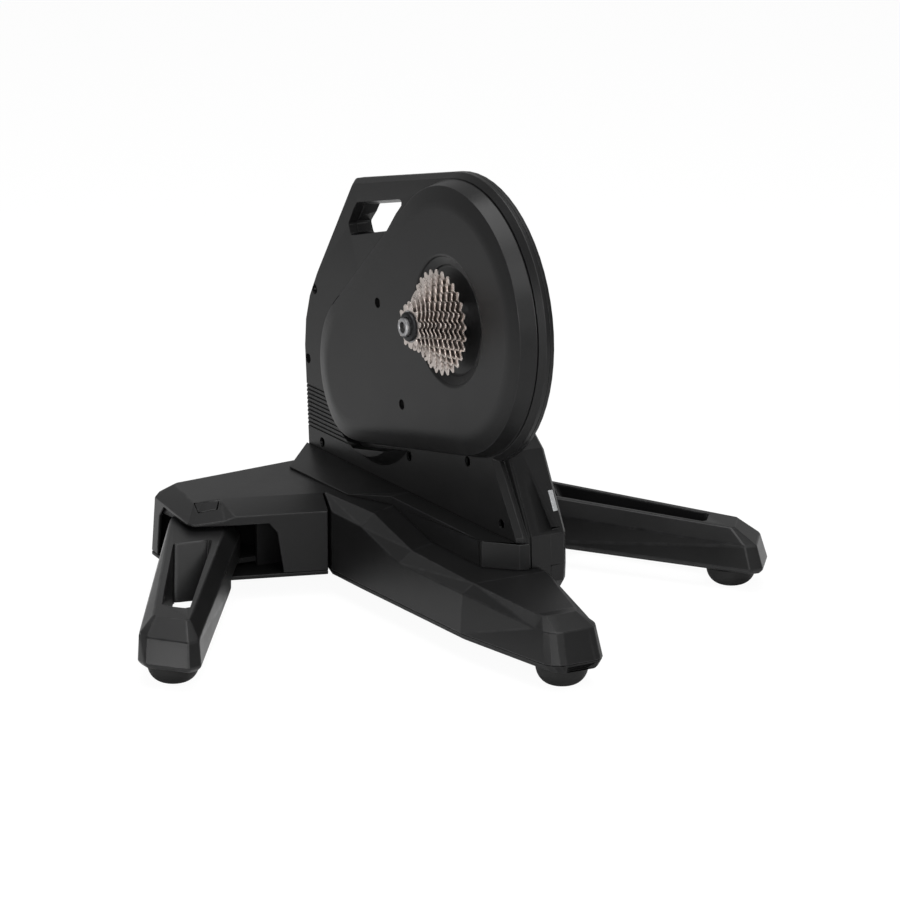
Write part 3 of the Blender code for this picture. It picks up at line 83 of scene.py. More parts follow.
# The studio floor is a white sheet that runs on to the horizon. It shows as white to the camera
# and keeps a soft shadow under the trainer.
def node_of(tree, kind, settings=None, **sockets):
    """A node with its input values set by name, and its own settings by attribute."""
    made = tree.nodes.new(kind)
    for name, value in (settings or {}).items():
        setattr(made, name, value)
    for name, value in sockets.items():
        made.inputs[name.replace("_", " ")].default_value = value
    return made


def mix_by_ray(tree, ray, first, second, share=1.0):
    """One shader for a kind of ray and another for the rest."""
    rays = tree.nodes.new("ShaderNodeLightPath")
    part = node_of(tree, "ShaderNodeMath", {"operation": "MULTIPLY"})
    part.inputs[1].default_value = share
    mix = tree.nodes.new("ShaderNodeMixShader")
    tree.links.new(rays.outputs[ray], part.inputs[0])
    tree.links.new(part.outputs[0], mix.inputs["Fac"])
    tree.links.new(first.outputs[0], mix.inputs[1])
    tree.links.new(second.outputs[0], mix.inputs[2])
    return mix


floor_size = 9.0
floor = bpy.data.objects.new("floor", bpy.data.meshes.new("floor"))
floor.data.from_pydata([(-floor_size, -floor_size, 0), (floor_size, -floor_size, 0),
                        (floor_size, floor_size, 0), (-floor_size, floor_size, 0)], [], [(0, 1, 2, 3)])
bpy.context.scene.collection.objects.link(floor)
floor_paint = bpy.data.materials.new("white_floor")
floor_paint.use_nodes = True
tree = floor_paint.node_tree
tree.nodes["Principled BSDF"].inputs["Base Color"].default_value = (0.9, 0.9, 0.9, 1.0)
tree.nodes["Principled BSDF"].inputs["Roughness"].default_value = 0.9
tree.nodes["Principled BSDF"].inputs["Specular IOR Level"].default_value = 0.1
glow = node_of(tree, "ShaderNodeEmission", Strength=1.05)
shown = mix_by_ray(tree, "Is Camera Ray", tree.nodes["Principled BSDF"], glow, 0.9)
tree.links.new(shown.outputs[0], tree.nodes["Material Output"].inputs["Surface"])
floor.data.materials.append(floor_paint)


# The surround is white to the camera and in gloss, and dimmer as light, so that the soft boxes
# shape the black plastic: a large one overhead, and small ones low down on the side of the camera.
world = bpy.data.worlds.new("surround")
bpy.context.scene.world = world
world.use_nodes = True
tree = world.node_tree
tree.nodes.clear()
dim = node_of(tree, "ShaderNodeBackground", Strength=0.22)
bright = node_of(tree, "ShaderNodeBackground", Strength=0.42)
white = node_of(tree, "ShaderNodeBackground", Strength=1.0)
for backdrop in (dim, bright, white):
    backdrop.inputs["Color"].default_value = (1.0, 1.0, 1.0, 1.0)
in_gloss = mix_by_ray(tree, "Is Glossy Ray", dim, bright)
in_view = mix_by_ray(tree, "Is Camera Ray", in_gloss, white)
tree.links.new(in_view.outputs[0], tree.nodes.new("ShaderNodeOutputWorld").inputs["Surface"])

lamp_aim = Vector((0.0, 0.0, 0.25))
for name, way, distance, size, watts in (("top_box", (0.0, 0.0, 1.0), 2.6, 2.2, 63.0),
                                         ("low_box", (0.3, -1.0, 0.1), 2.2, 0.4, 9.0),
                                         ("high_front_box", (0.7, 0.0, 0.7), 2.8, 1.6, 28.0),
                                         ("front_box", (1.0, 0.0, 0.2), 3.0, 1.2, 8.0),
                                         ("corner_box", (0.8, -0.6, 0.22), 3.0, 1.4, 30.0)):
    lamp = bpy.data.objects.new(name, bpy.data.lights.new(name, "AREA"))
    lamp.data.size = size
    lamp.data.energy = watts
    lamp.location = lamp_aim + Vector(way).normalized() * distance
    lamp.rotation_mode = "QUATERNION"
    lamp.rotation_quaternion = (lamp_aim - lamp.location).to_track_quat("-Z", "Y")
    bpy.context.scene.collection.objects.link(lamp)


# The spine is a welded steel frame under the floor of the housing, which carries the legs' hinge
# pins, and a steel plate stands on it inside the housing. Both are black powder coat on steel,
# with the coat's slight orange peel.
def group_of(name, inputs, outputs):
    """An empty shader group with float inputs and outputs, and its two end nodes."""
    group = bpy.data.node_groups.new(name, "ShaderNodeTree")
    for label, value in inputs:
        socket = group.interface.new_socket(name=label, in_out="INPUT", socket_type="NodeSocketFloat")
        socket.default_value = value
    for label in outputs:
        group.interface.new_socket(name=label, in_out="OUTPUT", socket_type="NodeSocketFloat")
    return group, group.nodes.new("NodeGroupInput"), group.nodes.new("NodeGroupOutput")


def grain_group():
    """Fine grain of a surface and a slow drift of its colour and gloss, on object coordinates."""
    group, source, sink = group_of("surface_grain", (("Scale", 1000.0), ("Drift", 9.0)), ("Height", "Patch"))
    where = group.nodes.new("ShaderNodeTexCoord")
    fine = node_of(group, "ShaderNodeTexNoise", Detail=3.0, Roughness=0.6)
    slow = node_of(group, "ShaderNodeTexNoise", Detail=4.0, Roughness=0.6)
    for noise, scale, out, label in ((fine, "Scale", "Fac", "Height"), (slow, "Drift", "Fac", "Patch")):
        group.links.new(where.outputs["Object"], noise.inputs["Vector"])
        group.links.new(source.outputs[scale], noise.inputs["Scale"])
        group.links.new(noise.outputs[out], sink.inputs[label])
    return group


def wear_and_highlight_group():
    """How much a rounded edge is worn and painted lighter as a highlight: patchy along it, and nothing on the
    flats.
    """
    group, source, sink = group_of("rubbed_and_highlit_edge", (("Amount", 1.0), ("Scale", 60.0)), ("Wear And Highlight",))
    edge = node_of(group, "ShaderNodeAttribute", {"attribute_name": "edge"})
    where = group.nodes.new("ShaderNodeTexCoord")
    patchy = node_of(group, "ShaderNodeTexNoise", Detail=5.0, Roughness=0.65)
    spread = node_of(group, "ShaderNodeMapRange", From_Min=0.35, From_Max=0.65)
    on_edge = node_of(group, "ShaderNodeMath", {"operation": "MULTIPLY"})
    amount = node_of(group, "ShaderNodeMath", {"operation": "MULTIPLY", "use_clamp": True})
    group.links.new(where.outputs["Object"], patchy.inputs["Vector"])
    group.links.new(source.outputs["Scale"], patchy.inputs["Scale"])
    group.links.new(patchy.outputs["Fac"], spread.inputs["Value"])
    group.links.new(spread.outputs["Result"], on_edge.inputs[0])
    group.links.new(edge.outputs["Fac"], on_edge.inputs[1])
    group.links.new(on_edge.outputs[0], amount.inputs[0])
    group.links.new(source.outputs["Amount"], amount.inputs[1])
    group.links.new(amount.outputs[0], sink.inputs["Wear And Highlight"])
    return group


surface_grain = grain_group()
rubbed_and_highlit_edge = wear_and_highlight_group()


def finish(name, dark, light, rough, grain=(1000.0, 0.00005), drift=9.0, metallic=0.0, specular=0.5,
           rub_and_highlight=(0.5, 0.1), wear_and_highlight_gain=1.5):
    """A material whose colour and gloss drift between two values, with a fine grain and rounded edges that
    are worn and painted lighter as a highlight.
    """
    made = bpy.data.materials.new(name)
    made.use_nodes = True
    tree = made.node_tree
    shader = tree.nodes["Principled BSDF"]
    shader.inputs["Metallic"].default_value = metallic
    shader.inputs["Specular IOR Level"].default_value = specular
    grained = node_of(tree, "ShaderNodeGroup", {"node_tree": surface_grain}, Scale=grain[0], Drift=drift)
    edge_wear_and_highlight = node_of(tree, "ShaderNodeGroup", {"node_tree": rubbed_and_highlit_edge}, Amount=rub_and_highlight[0])
    spread = node_of(tree, "ShaderNodeMapRange", From_Min=0.3, From_Max=0.7)
    colour = node_of(tree, "ShaderNodeMix", {"data_type": "RGBA"})
    colour.inputs["A"].default_value = (*dark, 1.0)
    colour.inputs["B"].default_value = (*light, 1.0)
    # The rounded edges take the light colour made brighter: partly wear, partly a painted highlight.
    lighter = node_of(tree, "ShaderNodeMix", {"data_type": "RGBA"})
    lighter.inputs["B"].default_value = (*(min(1.0, c * wear_and_highlight_gain) for c in light), 1.0)
    gloss = node_of(tree, "ShaderNodeMapRange", To_Min=rough[0], To_Max=rough[1])
    polished = node_of(tree, "ShaderNodeMath", {"operation": "MULTIPLY_ADD"})
    polished.inputs[1].default_value = -rub_and_highlight[1]
    bump = node_of(tree, "ShaderNodeBump", Strength=1.0, Distance=grain[1])
    link = tree.links.new
    link(grained.outputs["Patch"], spread.inputs["Value"])
    link(spread.outputs["Result"], colour.inputs["Factor"])
    link(spread.outputs["Result"], gloss.inputs["Value"])
    link(grained.outputs["Height"], bump.inputs["Height"])
    link(colour.outputs["Result"], lighter.inputs["A"])
    link(edge_wear_and_highlight.outputs["Wear And Highlight"], lighter.inputs["Factor"])
    link(lighter.outputs["Result"], shader.inputs["Base Color"])
    link(edge_wear_and_highlight.outputs["Wear And Highlight"], polished.inputs[0])
    link(gloss.outputs["Result"], polished.inputs[2])
    link(polished.outputs[0], shader.inputs["Roughness"])
    link(bump.outputs["Normal"], shader.inputs["Normal"])
    return made


def dress(material, *nodes):
    """A new finish on solids whose shape is right as it is."""
    for node in nodes:
        frame["nodes"][node].data.materials.clear()
        frame["nodes"][node].data.materials.append(material)


powder_coat = finish("powder_coat", (0.0040, 0.0040, 0.0041), (0.0065, 0.0065, 0.0066), (0.45, 0.58),
                     (420.0, 0.00012), specular=0.16)
dress(powder_coat, "spine_frame", "chassis_plate")


# Hinge pins, axle and bearings are turned steel parts, pressed in, with the lathe's fine rings
# on their faces and a thin film of oil that changes their gloss.
def lathe_group():
    """Rings that a lathe leaves, round an axis along Y, or straight lines along a shaft."""
    group, source, sink = group_of("lathe_rings", (("Middle X", 0.0), ("Middle Z", 0.0), ("Scale", 4000.0)),
                                   ("Rings",))
    where = group.nodes.new("ShaderNodeTexCoord")
    parts = group.nodes.new("ShaderNodeSeparateXYZ")
    group.links.new(where.outputs["Object"], parts.inputs["Vector"])
    squares = []
    for axis, middle in (("X", "Middle X"), ("Z", "Middle Z")):
        away = node_of(group, "ShaderNodeMath", {"operation": "SUBTRACT"})
        square = node_of(group, "ShaderNodeMath", {"operation": "MULTIPLY"})
        group.links.new(parts.outputs[axis], away.inputs[0])
        group.links.new(source.outputs[middle], away.inputs[1])
        group.links.new(away.outputs[0], square.inputs[0])
        group.links.new(away.outputs[0], square.inputs[1])
        squares.append(square)
    total = node_of(group, "ShaderNodeMath", {"operation": "ADD"})
    radius = node_of(group, "ShaderNodeMath", {"operation": "SQRT"})
    place = group.nodes.new("ShaderNodeCombineXYZ")
    rings = node_of(group, "ShaderNodeTexNoise", Detail=2.0)
    group.links.new(squares[0].outputs[0], total.inputs[0])
    group.links.new(squares[1].outputs[0], total.inputs[1])
    group.links.new(total.outputs[0], radius.inputs[0])
    group.links.new(radius.outputs[0], place.inputs["X"])
    group.links.new(parts.outputs["Y"], place.inputs["Y"])
    group.links.new(place.outputs[0], rings.inputs["Vector"])
    group.links.new(source.outputs["Scale"], rings.inputs["Scale"])
    group.links.new(rings.outputs["Fac"], sink.inputs["Rings"])
    return group


lathe_rings = lathe_group()
ring_scale, ring_depth = 3000.0, 0.00002


def turned_metal(name, dark, light, rough, middle):
    """Machined metal with lathe rings round the axis of its piece."""
    made = finish(name, dark, light, rough, (ring_scale, ring_depth), 30.0, 1.0, rub_and_highlight=(0.8, 0.06))
    tree = made.node_tree
    rings = node_of(tree, "ShaderNodeGroup", {"node_tree": lathe_rings}, Scale=ring_scale)
    rings.inputs["Middle X"].default_value = middle[0]
    rings.inputs["Middle Z"].default_value = middle[1]
    bump = next(node for node in tree.nodes if node.type == "BUMP")
    tree.links.new(rings.outputs["Rings"], bump.inputs["Height"])
    return made


def middle_of(node):
    """X and Z of the middle of a solid, which is its axis on pieces turned about Y."""
    low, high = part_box(node)
    return ((low[0] + high[0]) / 2, (low[2] + high[2]) / 2)


hub = middle_of("axle")
turned_steel = turned_metal("turned_steel", (0.40, 0.39, 0.38), (0.56, 0.55, 0.53), (0.28, 0.40), hub)
dress(turned_steel, "hinge_pin_left", "hinge_pin_right", "axle", "hub_bearing_front", "hub_bearing_rear")


# The brake sits behind the flywheel: a laminated iron yoke with a magnet in its mouth, next to the
# circuit board that drives it. None of it shows from outside, and each has its own bare finish.
laminated_iron = finish("laminated_iron", (0.05, 0.048, 0.046), (0.11, 0.10, 0.095), (0.45, 0.6),
                        (2600.0, 0.00008), metallic=1.0)
magnet_nickel = finish("magnet_nickel", (0.42, 0.41, 0.38), (0.52, 0.50, 0.47), (0.22, 0.34),
                       (1800.0, 0.00002), metallic=1.0)
board_green = finish("board_green", (0.010, 0.060, 0.026), (0.018, 0.120, 0.050), (0.25, 0.45),
                     (700.0, 0.0001), 220.0)
dress(laminated_iron, "brake_yoke")
dress(magnet_nickel, "brake_magnet")
dress(board_green, "control_board")


# The flywheel is a turned cast iron disc, blackened, on a steel shaft whose end is the small belt
# pulley. It runs in two ball bearings pressed into the plate and the rear housing.
fly = middle_of("flywheel")
blackened_iron = turned_metal("blackened_iron", (0.030, 0.030, 0.031), (0.060, 0.058, 0.056),
                              (0.35, 0.5), fly)
fly_steel = turned_metal("flywheel_steel", (0.42, 0.41, 0.40), (0.56, 0.55, 0.53), (0.28, 0.4), fly)
dress(blackened_iron, "flywheel")
dress(fly_steel, "flywheel_shaft", "flywheel_bearing_front", "flywheel_bearing_rear")


# A dull black moulded tray closes the underside of the long beam, and another closes both rear
# arms. They sit a little inside the covers, held by clips, and their lower edges are rounded.
merge_gap = 0.00002
flat_turn = 0.3
sharp_turn = 24.0


def softened(node, name, width, material, crease=8.0, steps=3, keep_short=0.004, lips=()):
    """A copy of a solid with its flats whole again and its edges rounded, as a mould leaves them.

    Each lip is an upright moulding added to it: its outline in X and Z, and its two ends along Y.
    """
    mesh = bpy.data.meshes.new(name)
    bm = bmesh.new()
    bm.from_mesh(frame["nodes"][node].data)
    bmesh.ops.remove_doubles(bm, verts=bm.verts, dist=merge_gap)
    bmesh.ops.dissolve_limit(bm, angle_limit=math.radians(flat_turn), verts=bm.verts, edges=bm.edges)
    weight = bm.edges.layers.float.new("bevel_weight_edge")
    for face in bm.faces:
        face.smooth = True
    for edge in bm.edges:
        if len(edge.link_faces) != 2:
            continue
        turn = edge.calc_face_angle(0.0)
        if turn > math.radians(crease) and edge.calc_length() > keep_short:
            edge[weight] = 1.0
        elif turn > math.radians(max(crease, sharp_turn)):
            edge.smooth = False
    for outline, low_y, high_y in lips:
        low_ring = [bm.verts.new((x, low_y, z)) for x, z in outline]
        high_ring = [bm.verts.new((x, high_y, z)) for x, z in outline]
        lip = [bm.faces.new(low_ring), bm.faces.new(high_ring)]
        for k in range(len(outline)):
            j = (k + 1) % len(outline)
            lip.append(bm.faces.new((low_ring[k], low_ring[j], high_ring[j], high_ring[k])))
        bmesh.ops.recalc_face_normals(bm, faces=lip)
    bm.to_mesh(mesh)
    bm.free()
    piece = bpy.data.objects.new(name, mesh)
    bpy.context.scene.collection.objects.link(piece)
    mesh.materials.append(material)
    mesh.materials.append(material)
    rounded = piece.modifiers.new("rounded", "BEVEL")
    rounded.limit_method = "WEIGHT"
    rounded.width = width
    rounded.segments = steps
    rounded.use_clamp_overlap = False
    rounded.miter_outer = "MITER_ARC"
    rounded.material = 1
    even = piece.modifiers.new("even", "WEIGHTED_NORMAL")
    even.keep_sharp = True
    as_plain_mesh(piece)
    mark_edges(piece.data)
    return piece


def as_plain_mesh(piece):
    """Settles what an object's modifiers make into its mesh, and removes them."""
    graph = bpy.context.evaluated_depsgraph_get()
    done = bpy.data.meshes.new_from_object(piece.evaluated_get(graph), depsgraph=graph)
    piece.modifiers.clear()
    piece.data = done
    done.name = piece.name


def mark_edges(mesh):
    """Writes the edge mask that the finishes read: 1 on faces of the last slot, the rounded edges."""
    mask = mesh.attributes.new("edge", "FLOAT", "CORNER")
    edge_slot = len(mesh.materials) - 1
    plain_slot = list(mesh.materials).index(mesh.materials[edge_slot])
    for face in mesh.polygons:
        on_edge = face.material_index == edge_slot
        for corner in face.loop_indices:
            mask.data[corner].value = float(on_edge)
        if on_edge:
            face.material_index = plain_slot
    mesh.materials.pop()


def fit(piece, slot, *nodes):
    """Fixes a piece to the body of the solids that it stands for."""
    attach(piece, frame["nodes"][nodes[0]]["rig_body"])
    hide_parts(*nodes)


# Its rounded edges are painted three times lighter than the flats, a painted highlight, with patches of wear.
tray_plastic = finish("tray_plastic", (0.0040, 0.0040, 0.0041), (0.0058, 0.0058, 0.0060), (0.42, 0.52),
                      (1100.0, 0.0001), specular=0.16, wear_and_highlight_gain=3.0)
tray_rounding = 0.0012
for node, name in (("beam_plate", "beam_tray"), ("rear_plate", "rear_tray")):
    fit(softened(node, name, tray_rounding, tray_plastic), "plates", node)


# The beam and the two rear arms are covers moulded in black glass-filled nylon over the spine.
# They have a fine spark-eroded grain, a satin sheen, crisp folds and small rounded edges.
# Its rounded edges are painted much lighter than the flats, a painted highlight along each edge, with patches
# of wear.
shell_plastic = finish("shell_plastic", (0.0060, 0.0060, 0.0061), (0.0078, 0.0078, 0.0080), (0.31, 0.38),
                       (1400.0, 0.00006), specular=0.2, rub_and_highlight=(0.6, 0.1), wear_and_highlight_gain=2.6)
cover_rounding = 0.0014
for node, name, crease in (("beam_cover", "beam_shell", 6.0), ("arm_cover_right", "right_arm_shell", 12.0),
                           ("arm_cover_left", "left_arm_shell", 12.0)):
    fit(softened(node, name, cover_rounding, shell_plastic, crease), "shell", node)


# Each folding leg is one hollow moulding in the same black plastic, with a long window, that turns
# on a steel pin under its arm. The release on top is a small slider with a finger dip.
leg_rounding, release_rounding, release_slit = 0.0020, 0.0007, 0.0006
for side in ("right", "left"):
    leg, button = "leg_" + side, "release_button_" + side
    fit(softened(leg, side + "_leg_shell", leg_rounding, shell_plastic, 6.0), "shell", leg)
    release = softened(button, side + "_leg_release", release_rounding, shell_plastic, 10.0, 2, 0.001)
    low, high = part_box(button)
    middle = Vector(((low[0] + high[0]) / 2, (low[1] + high[1]) / 2, high[2]))
    share = 1.0 - 2 * release_slit / (high[1] - low[1])
    narrower = Matrix.Diagonal((share, share, 1.0, 1.0))
    release.data.transform(Matrix.Translation(middle) @ narrower @ Matrix.Translation(-middle))
    fit(release, "shell", button)


# The five feet are moulded rubber domes, pressed into sockets under the beam, the arms and the
# legs. Rubber is duller and greyer than the shells, and rings are moulded into its sole.
foot_rubber = finish("foot_rubber", (0.0060, 0.0060, 0.0060), (0.0090, 0.0090, 0.0088), (0.55, 0.7),
                     (900.0, 0.0001), 40.0, specular=0.25)
foot_turns = 64


def turned_mesh(name, profile, middle, material, axis, turns):
    """A closed piece turned from a profile of (radius, place along the axis), with sharp corners kept."""
    bm = bmesh.new()
    rings = []
    for radius, along in profile:
        ring = []
        for k in range(turns):
            a = 2 * math.pi * k / turns
            u, v = radius * math.cos(a), radius * math.sin(a)
            if axis == "Z":
                ring.append(bm.verts.new((middle[0] + u, middle[1] + v, along)))
            else:
                ring.append(bm.verts.new((middle[0] + u, along, middle[1] + v)))
        rings.append(ring)
    for one, two in zip(rings, rings[1:] + rings[:1]):
        if one is rings[-1] and profile[0][0] == 0.0 and profile[-1][0] == 0.0:
            continue
        for k in range(turns):
            j = (k + 1) % turns
            bm.faces.new((one[k], one[j], two[j], two[k]))
    bmesh.ops.remove_doubles(bm, verts=bm.verts, dist=0.000001)
    bmesh.ops.recalc_face_normals(bm, faces=bm.faces)
    mesh = bpy.data.meshes.new(name)
    bm.to_mesh(mesh)
    bm.free()
    mesh.shade_smooth()
    mesh.set_sharp_from_angle(angle=math.radians(32.0))
    mesh.materials.append(material)
    piece = bpy.data.objects.new(name, mesh)
    bpy.context.scene.collection.objects.link(piece)
    return piece


def foot_profile(radius, height, low):
    """A dome with a flat ringed sole and a short straight collar at the top."""
    sole, groove, deep = radius * 0.36, radius * 0.05, 0.0006
    dome, dome_steps, round_off = height * 0.93, 12, 0.0008
    points = [(0.0, low)]
    for share in (0.35, 0.65, 0.90):
        at = sole * share
        points += [(at - groove / 2, low), (at - groove / 4, low + deep), (at + groove / 4, low + deep),
                   (at + groove / 2, low)]
    for k in range(dome_steps + 1):
        a = math.pi / 2 * k / dome_steps
        points.append((sole + (radius - sole) * math.sin(a), low + dome * (1 - math.cos(a))))
    top = low + height
    return points + [(radius, top - round_off), (radius - round_off, top), (0.0, top)]


for node, name in (("foot_front", "front_foot"), ("foot_leg_right", "right_leg_foot"),
                   ("foot_leg_left", "left_leg_foot"), ("foot_rear_right", "right_rear_foot"),
                   ("foot_rear_left", "left_rear_foot")):
    low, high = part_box(node)
    place = ((low[0] + high[0]) / 2, (low[1] + high[1]) / 2)
    profile = foot_profile((high[0] - low[0]) / 2, high[2] - low[2], low[2])
    fit(turned_mesh(name, profile, place, foot_rubber, "Z", foot_turns), "rubber", node)


# The housing is two deep mouldings, screwed together at a thin seam: the drive side with grip hole and
# cooling grooves, and the back with a swelling over the flywheel, a lip that fills the joint down its
# neck, and a flange below it. A collar on each side hides its foot where it goes into the beam.
neck_lip = ([(0.1651, 0.1250), (0.1571, 0.1400), (0.1233, 0.2000), (0.1195, 0.2090), (0.1060, 0.2090),
             (0.1101, 0.2000), (0.1508, 0.1400), (0.1600, 0.1250)], 0.0336, 0.0366)
neck_flange = ([(0.1672, 0.0960), (0.1640, 0.0960), (0.1640, 0.0760), (0.1672, 0.0760)], 0.0460, 0.0614)
for node, name, crease, width, short, lips in (
        ("casing_drive_half", "drive_side_shell", 14.0, 0.0005, 0.0040, ()),
        ("casing_back_half", "back_shell", 11.0, 0.0005, 0.0025, (neck_lip, neck_flange)),
        ("skirt_drive", "drive_side_collar", 8.0, 0.0007, 0.0040, ()),
        ("skirt_back", "back_collar", 8.0, 0.0007, 0.0040, ())):
    fit(softened(node, name, width, shell_plastic, crease, keep_short=short, lips=lips), "shell", node)


# Six screws hold the housing together and two hold the belt cover, each at the bottom of a deep
# recess: a low head with a hexagon socket on a plain shank, made by one tree and set on points.
def geometry_group(name, inputs):
    """An empty Geometry Nodes tree that takes and gives geometry, with its two end nodes."""
    group = bpy.data.node_groups.new(name, "GeometryNodeTree")
    group.interface.new_socket(name="Geometry", in_out="INPUT", socket_type="NodeSocketGeometry")
    for label, kind in inputs:
        group.interface.new_socket(name=label, in_out="INPUT", socket_type="NodeSocket" + kind)
    group.interface.new_socket(name="Geometry", in_out="OUTPUT", socket_type="NodeSocketGeometry")
    return group, group.nodes.new("NodeGroupInput"), group.nodes.new("NodeGroupOutput")


def run_tree(piece, group, values):
    """Runs a Geometry Nodes tree on an object with its named inputs, and keeps the plain mesh."""
    made = piece.modifiers.new(group.name, "NODES")
    made.node_group = group
    for item in group.interface.items_tree:
        if item.item_type == "SOCKET" and item.in_out == "INPUT" and item.name in values:
            made[item.identifier] = values[item.name]
    as_plain_mesh(piece)


def plate_nodes(tree, outer, inner, thickness, start=None):
    """A flat plate between two curves, with a thickness along Z, closed at both faces."""
    both = tree.nodes.new("GeometryNodeJoinGeometry")
    fill = node_of(tree, "GeometryNodeFillCurve")
    up = tree.nodes.new("ShaderNodeCombineXYZ")
    thick = tree.nodes.new("GeometryNodeExtrudeMesh")
    thick.inputs["Individual"].default_value = False
    closed = tree.nodes.new("GeometryNodeJoinGeometry")
    merged = node_of(tree, "GeometryNodeMergeByDistance", Distance=0.000001)
    tree.links.new(outer, both.inputs[0])
    tree.links.new(inner, both.inputs[0])
    tree.links.new(both.outputs[0], fill.inputs["Curve"])
    tree.links.new(thickness, up.inputs["Z"])
    tree.links.new(fill.outputs[0], thick.inputs["Mesh"])
    tree.links.new(up.outputs[0], thick.inputs["Offset"])
    tree.links.new(fill.outputs[0], closed.inputs[0])
    tree.links.new(thick.outputs["Mesh"], closed.inputs[0])
    tree.links.new(closed.outputs[0], merged.inputs["Geometry"])
    if start is None:
        return merged.outputs[0]
    shift = tree.nodes.new("ShaderNodeCombineXYZ")
    moved = tree.nodes.new("GeometryNodeTransform")
    tree.links.new(start, shift.inputs["Z"])
    tree.links.new(shift.outputs[0], moved.inputs["Translation"])
    tree.links.new(merged.outputs[0], moved.inputs["Geometry"])
    return moved.outputs[0]


def screw_tree():
    """A socket screw on every point of the input, its head towards the drive side."""
    tree, source, sink = geometry_group("socket_screws", (
        ("Head Radius", "Float"), ("Head Height", "Float"), ("Socket Radius", "Float"),
        ("Shank Radius", "Float"), ("Shank Length", "Float"), ("Finish", "Material")))
    rim = node_of(tree, "GeometryNodeCurvePrimitiveCircle", Resolution=36)
    socket = node_of(tree, "GeometryNodeCurvePrimitiveCircle", Resolution=6)
    shank = node_of(tree, "GeometryNodeMeshCylinder", Vertices=24)
    half = node_of(tree, "ShaderNodeMath", {"operation": "MULTIPLY"})
    half.inputs[1].default_value = -0.5
    drop = tree.nodes.new("ShaderNodeCombineXYZ")
    below = tree.nodes.new("GeometryNodeTransform")
    whole = tree.nodes.new("GeometryNodeJoinGeometry")
    stand = tree.nodes.new("GeometryNodeTransform")
    stand.inputs["Rotation"].default_value = (math.radians(90.0), 0.0, 0.0)
    spread = tree.nodes.new("GeometryNodeInstanceOnPoints")
    plain = tree.nodes.new("GeometryNodeRealizeInstances")
    coat = tree.nodes.new("GeometryNodeSetMaterial")
    link = tree.links.new
    link(source.outputs["Head Radius"], rim.inputs["Radius"])
    link(source.outputs["Socket Radius"], socket.inputs["Radius"])
    link(source.outputs["Shank Radius"], shank.inputs["Radius"])
    link(source.outputs["Shank Length"], shank.inputs["Depth"])
    link(source.outputs["Shank Length"], half.inputs[0])
    link(half.outputs[0], drop.inputs["Z"])
    link(drop.outputs[0], below.inputs["Translation"])
    link(shank.outputs["Mesh"], below.inputs["Geometry"])
    head = plate_nodes(tree, rim.outputs["Curve"], socket.outputs["Curve"], source.outputs["Head Height"])
    link(head, whole.inputs[0])
    link(below.outputs[0], whole.inputs[0])
    link(whole.outputs[0], stand.inputs["Geometry"])
    link(source.outputs["Geometry"], spread.inputs["Points"])
    link(stand.outputs[0], spread.inputs["Instance"])
    link(spread.outputs[0], plain.inputs["Geometry"])
    link(plain.outputs[0], coat.inputs["Geometry"])
    link(source.outputs["Finish"], coat.inputs["Material"])
    link(coat.outputs[0], sink.inputs["Geometry"])
    return tree


def outward(piece, sharp=30.0):
    """Turns every closed shell of a mesh so that its faces point outwards, and shades it by angle."""
    bm = bmesh.new()
    bm.from_mesh(piece.data)
    bmesh.ops.remove_doubles(bm, verts=bm.verts, dist=0.0000005)
    bmesh.ops.recalc_face_normals(bm, faces=bm.faces)
    bm.to_mesh(piece.data)
    bm.free()
    piece.data.shade_smooth()
    piece.data.set_sharp_from_angle(angle=math.radians(sharp))


black_oxide = finish("black_oxide", (0.006, 0.006, 0.006), (0.012, 0.012, 0.011), (0.4, 0.52),
                     (1500.0, 0.00003), 60.0, specular=0.3)
socket_screws = screw_tree()
screw_head, screw_socket, screw_shank = 0.0030, 0.0021, 0.0021


def screws(name, nodes):
    """Screws in the places of a group of solids, as one piece."""
    points = bpy.data.meshes.new(name)
    places = []
    for node in nodes:
        low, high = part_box(node)
        middle = middle_of(node)
        places.append((middle[0], low[1] + screw_head, middle[1]))
    points.from_pydata(places, [], [])
    piece = bpy.data.objects.new(name, points)
    bpy.context.scene.collection.objects.link(piece)
    low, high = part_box(nodes[0])
    run_tree(piece, socket_screws, {"Head Radius": (high[0] - low[0]) / 2, "Head Height": screw_head,
                                    "Socket Radius": screw_socket, "Shank Radius": screw_shank,
                                    "Shank Length": high[1] - low[1] - screw_head, "Finish": black_oxide})
    outward(piece)
    fit(piece, "dark_metal", *nodes)


screws("housing_screws", ["casing_screw_%d" % k for k in range(1, 7)])


# A small grey plastic window for the status light is let into the front edge of the housing, and the
# power socket with its centre pin sits low in the back. Both are pressed into their holes.
light_window = finish("light_window", (0.24, 0.245, 0.25), (0.30, 0.305, 0.31), (0.2, 0.3),
                      (1200.0, 0.00003), 200.0)
socket_plastic = finish("socket_plastic", (0.006, 0.006, 0.006), (0.010, 0.010, 0.010), (0.22, 0.32),
                        (1500.0, 0.00003), specular=0.3)
fit(softened("status_light", "status_window", 0.0008, light_window, 20.0), "lens", "status_light")
fit(softened("power_socket", "power_inlet", 0.0005, socket_plastic, 30.0, 2, 0.0015), "shell", "power_socket")


# The large belt pulley is machined alloy, and a ribbed rubber belt runs from it to the flywheel
# shaft. Both lie behind the round cover, in its hollow.
machined_alloy = turned_metal("machined_alloy", (0.46, 0.46, 0.47), (0.58, 0.58, 0.59), (0.26, 0.38), hub)
belt_rubber = finish("belt_rubber", (0.006, 0.006, 0.006), (0.011, 0.011, 0.011), (0.6, 0.8),
                     (1500.0, 0.0002), 60.0, specular=0.3)
dress(machined_alloy, "large_pulley")
dress(belt_rubber, "belt")


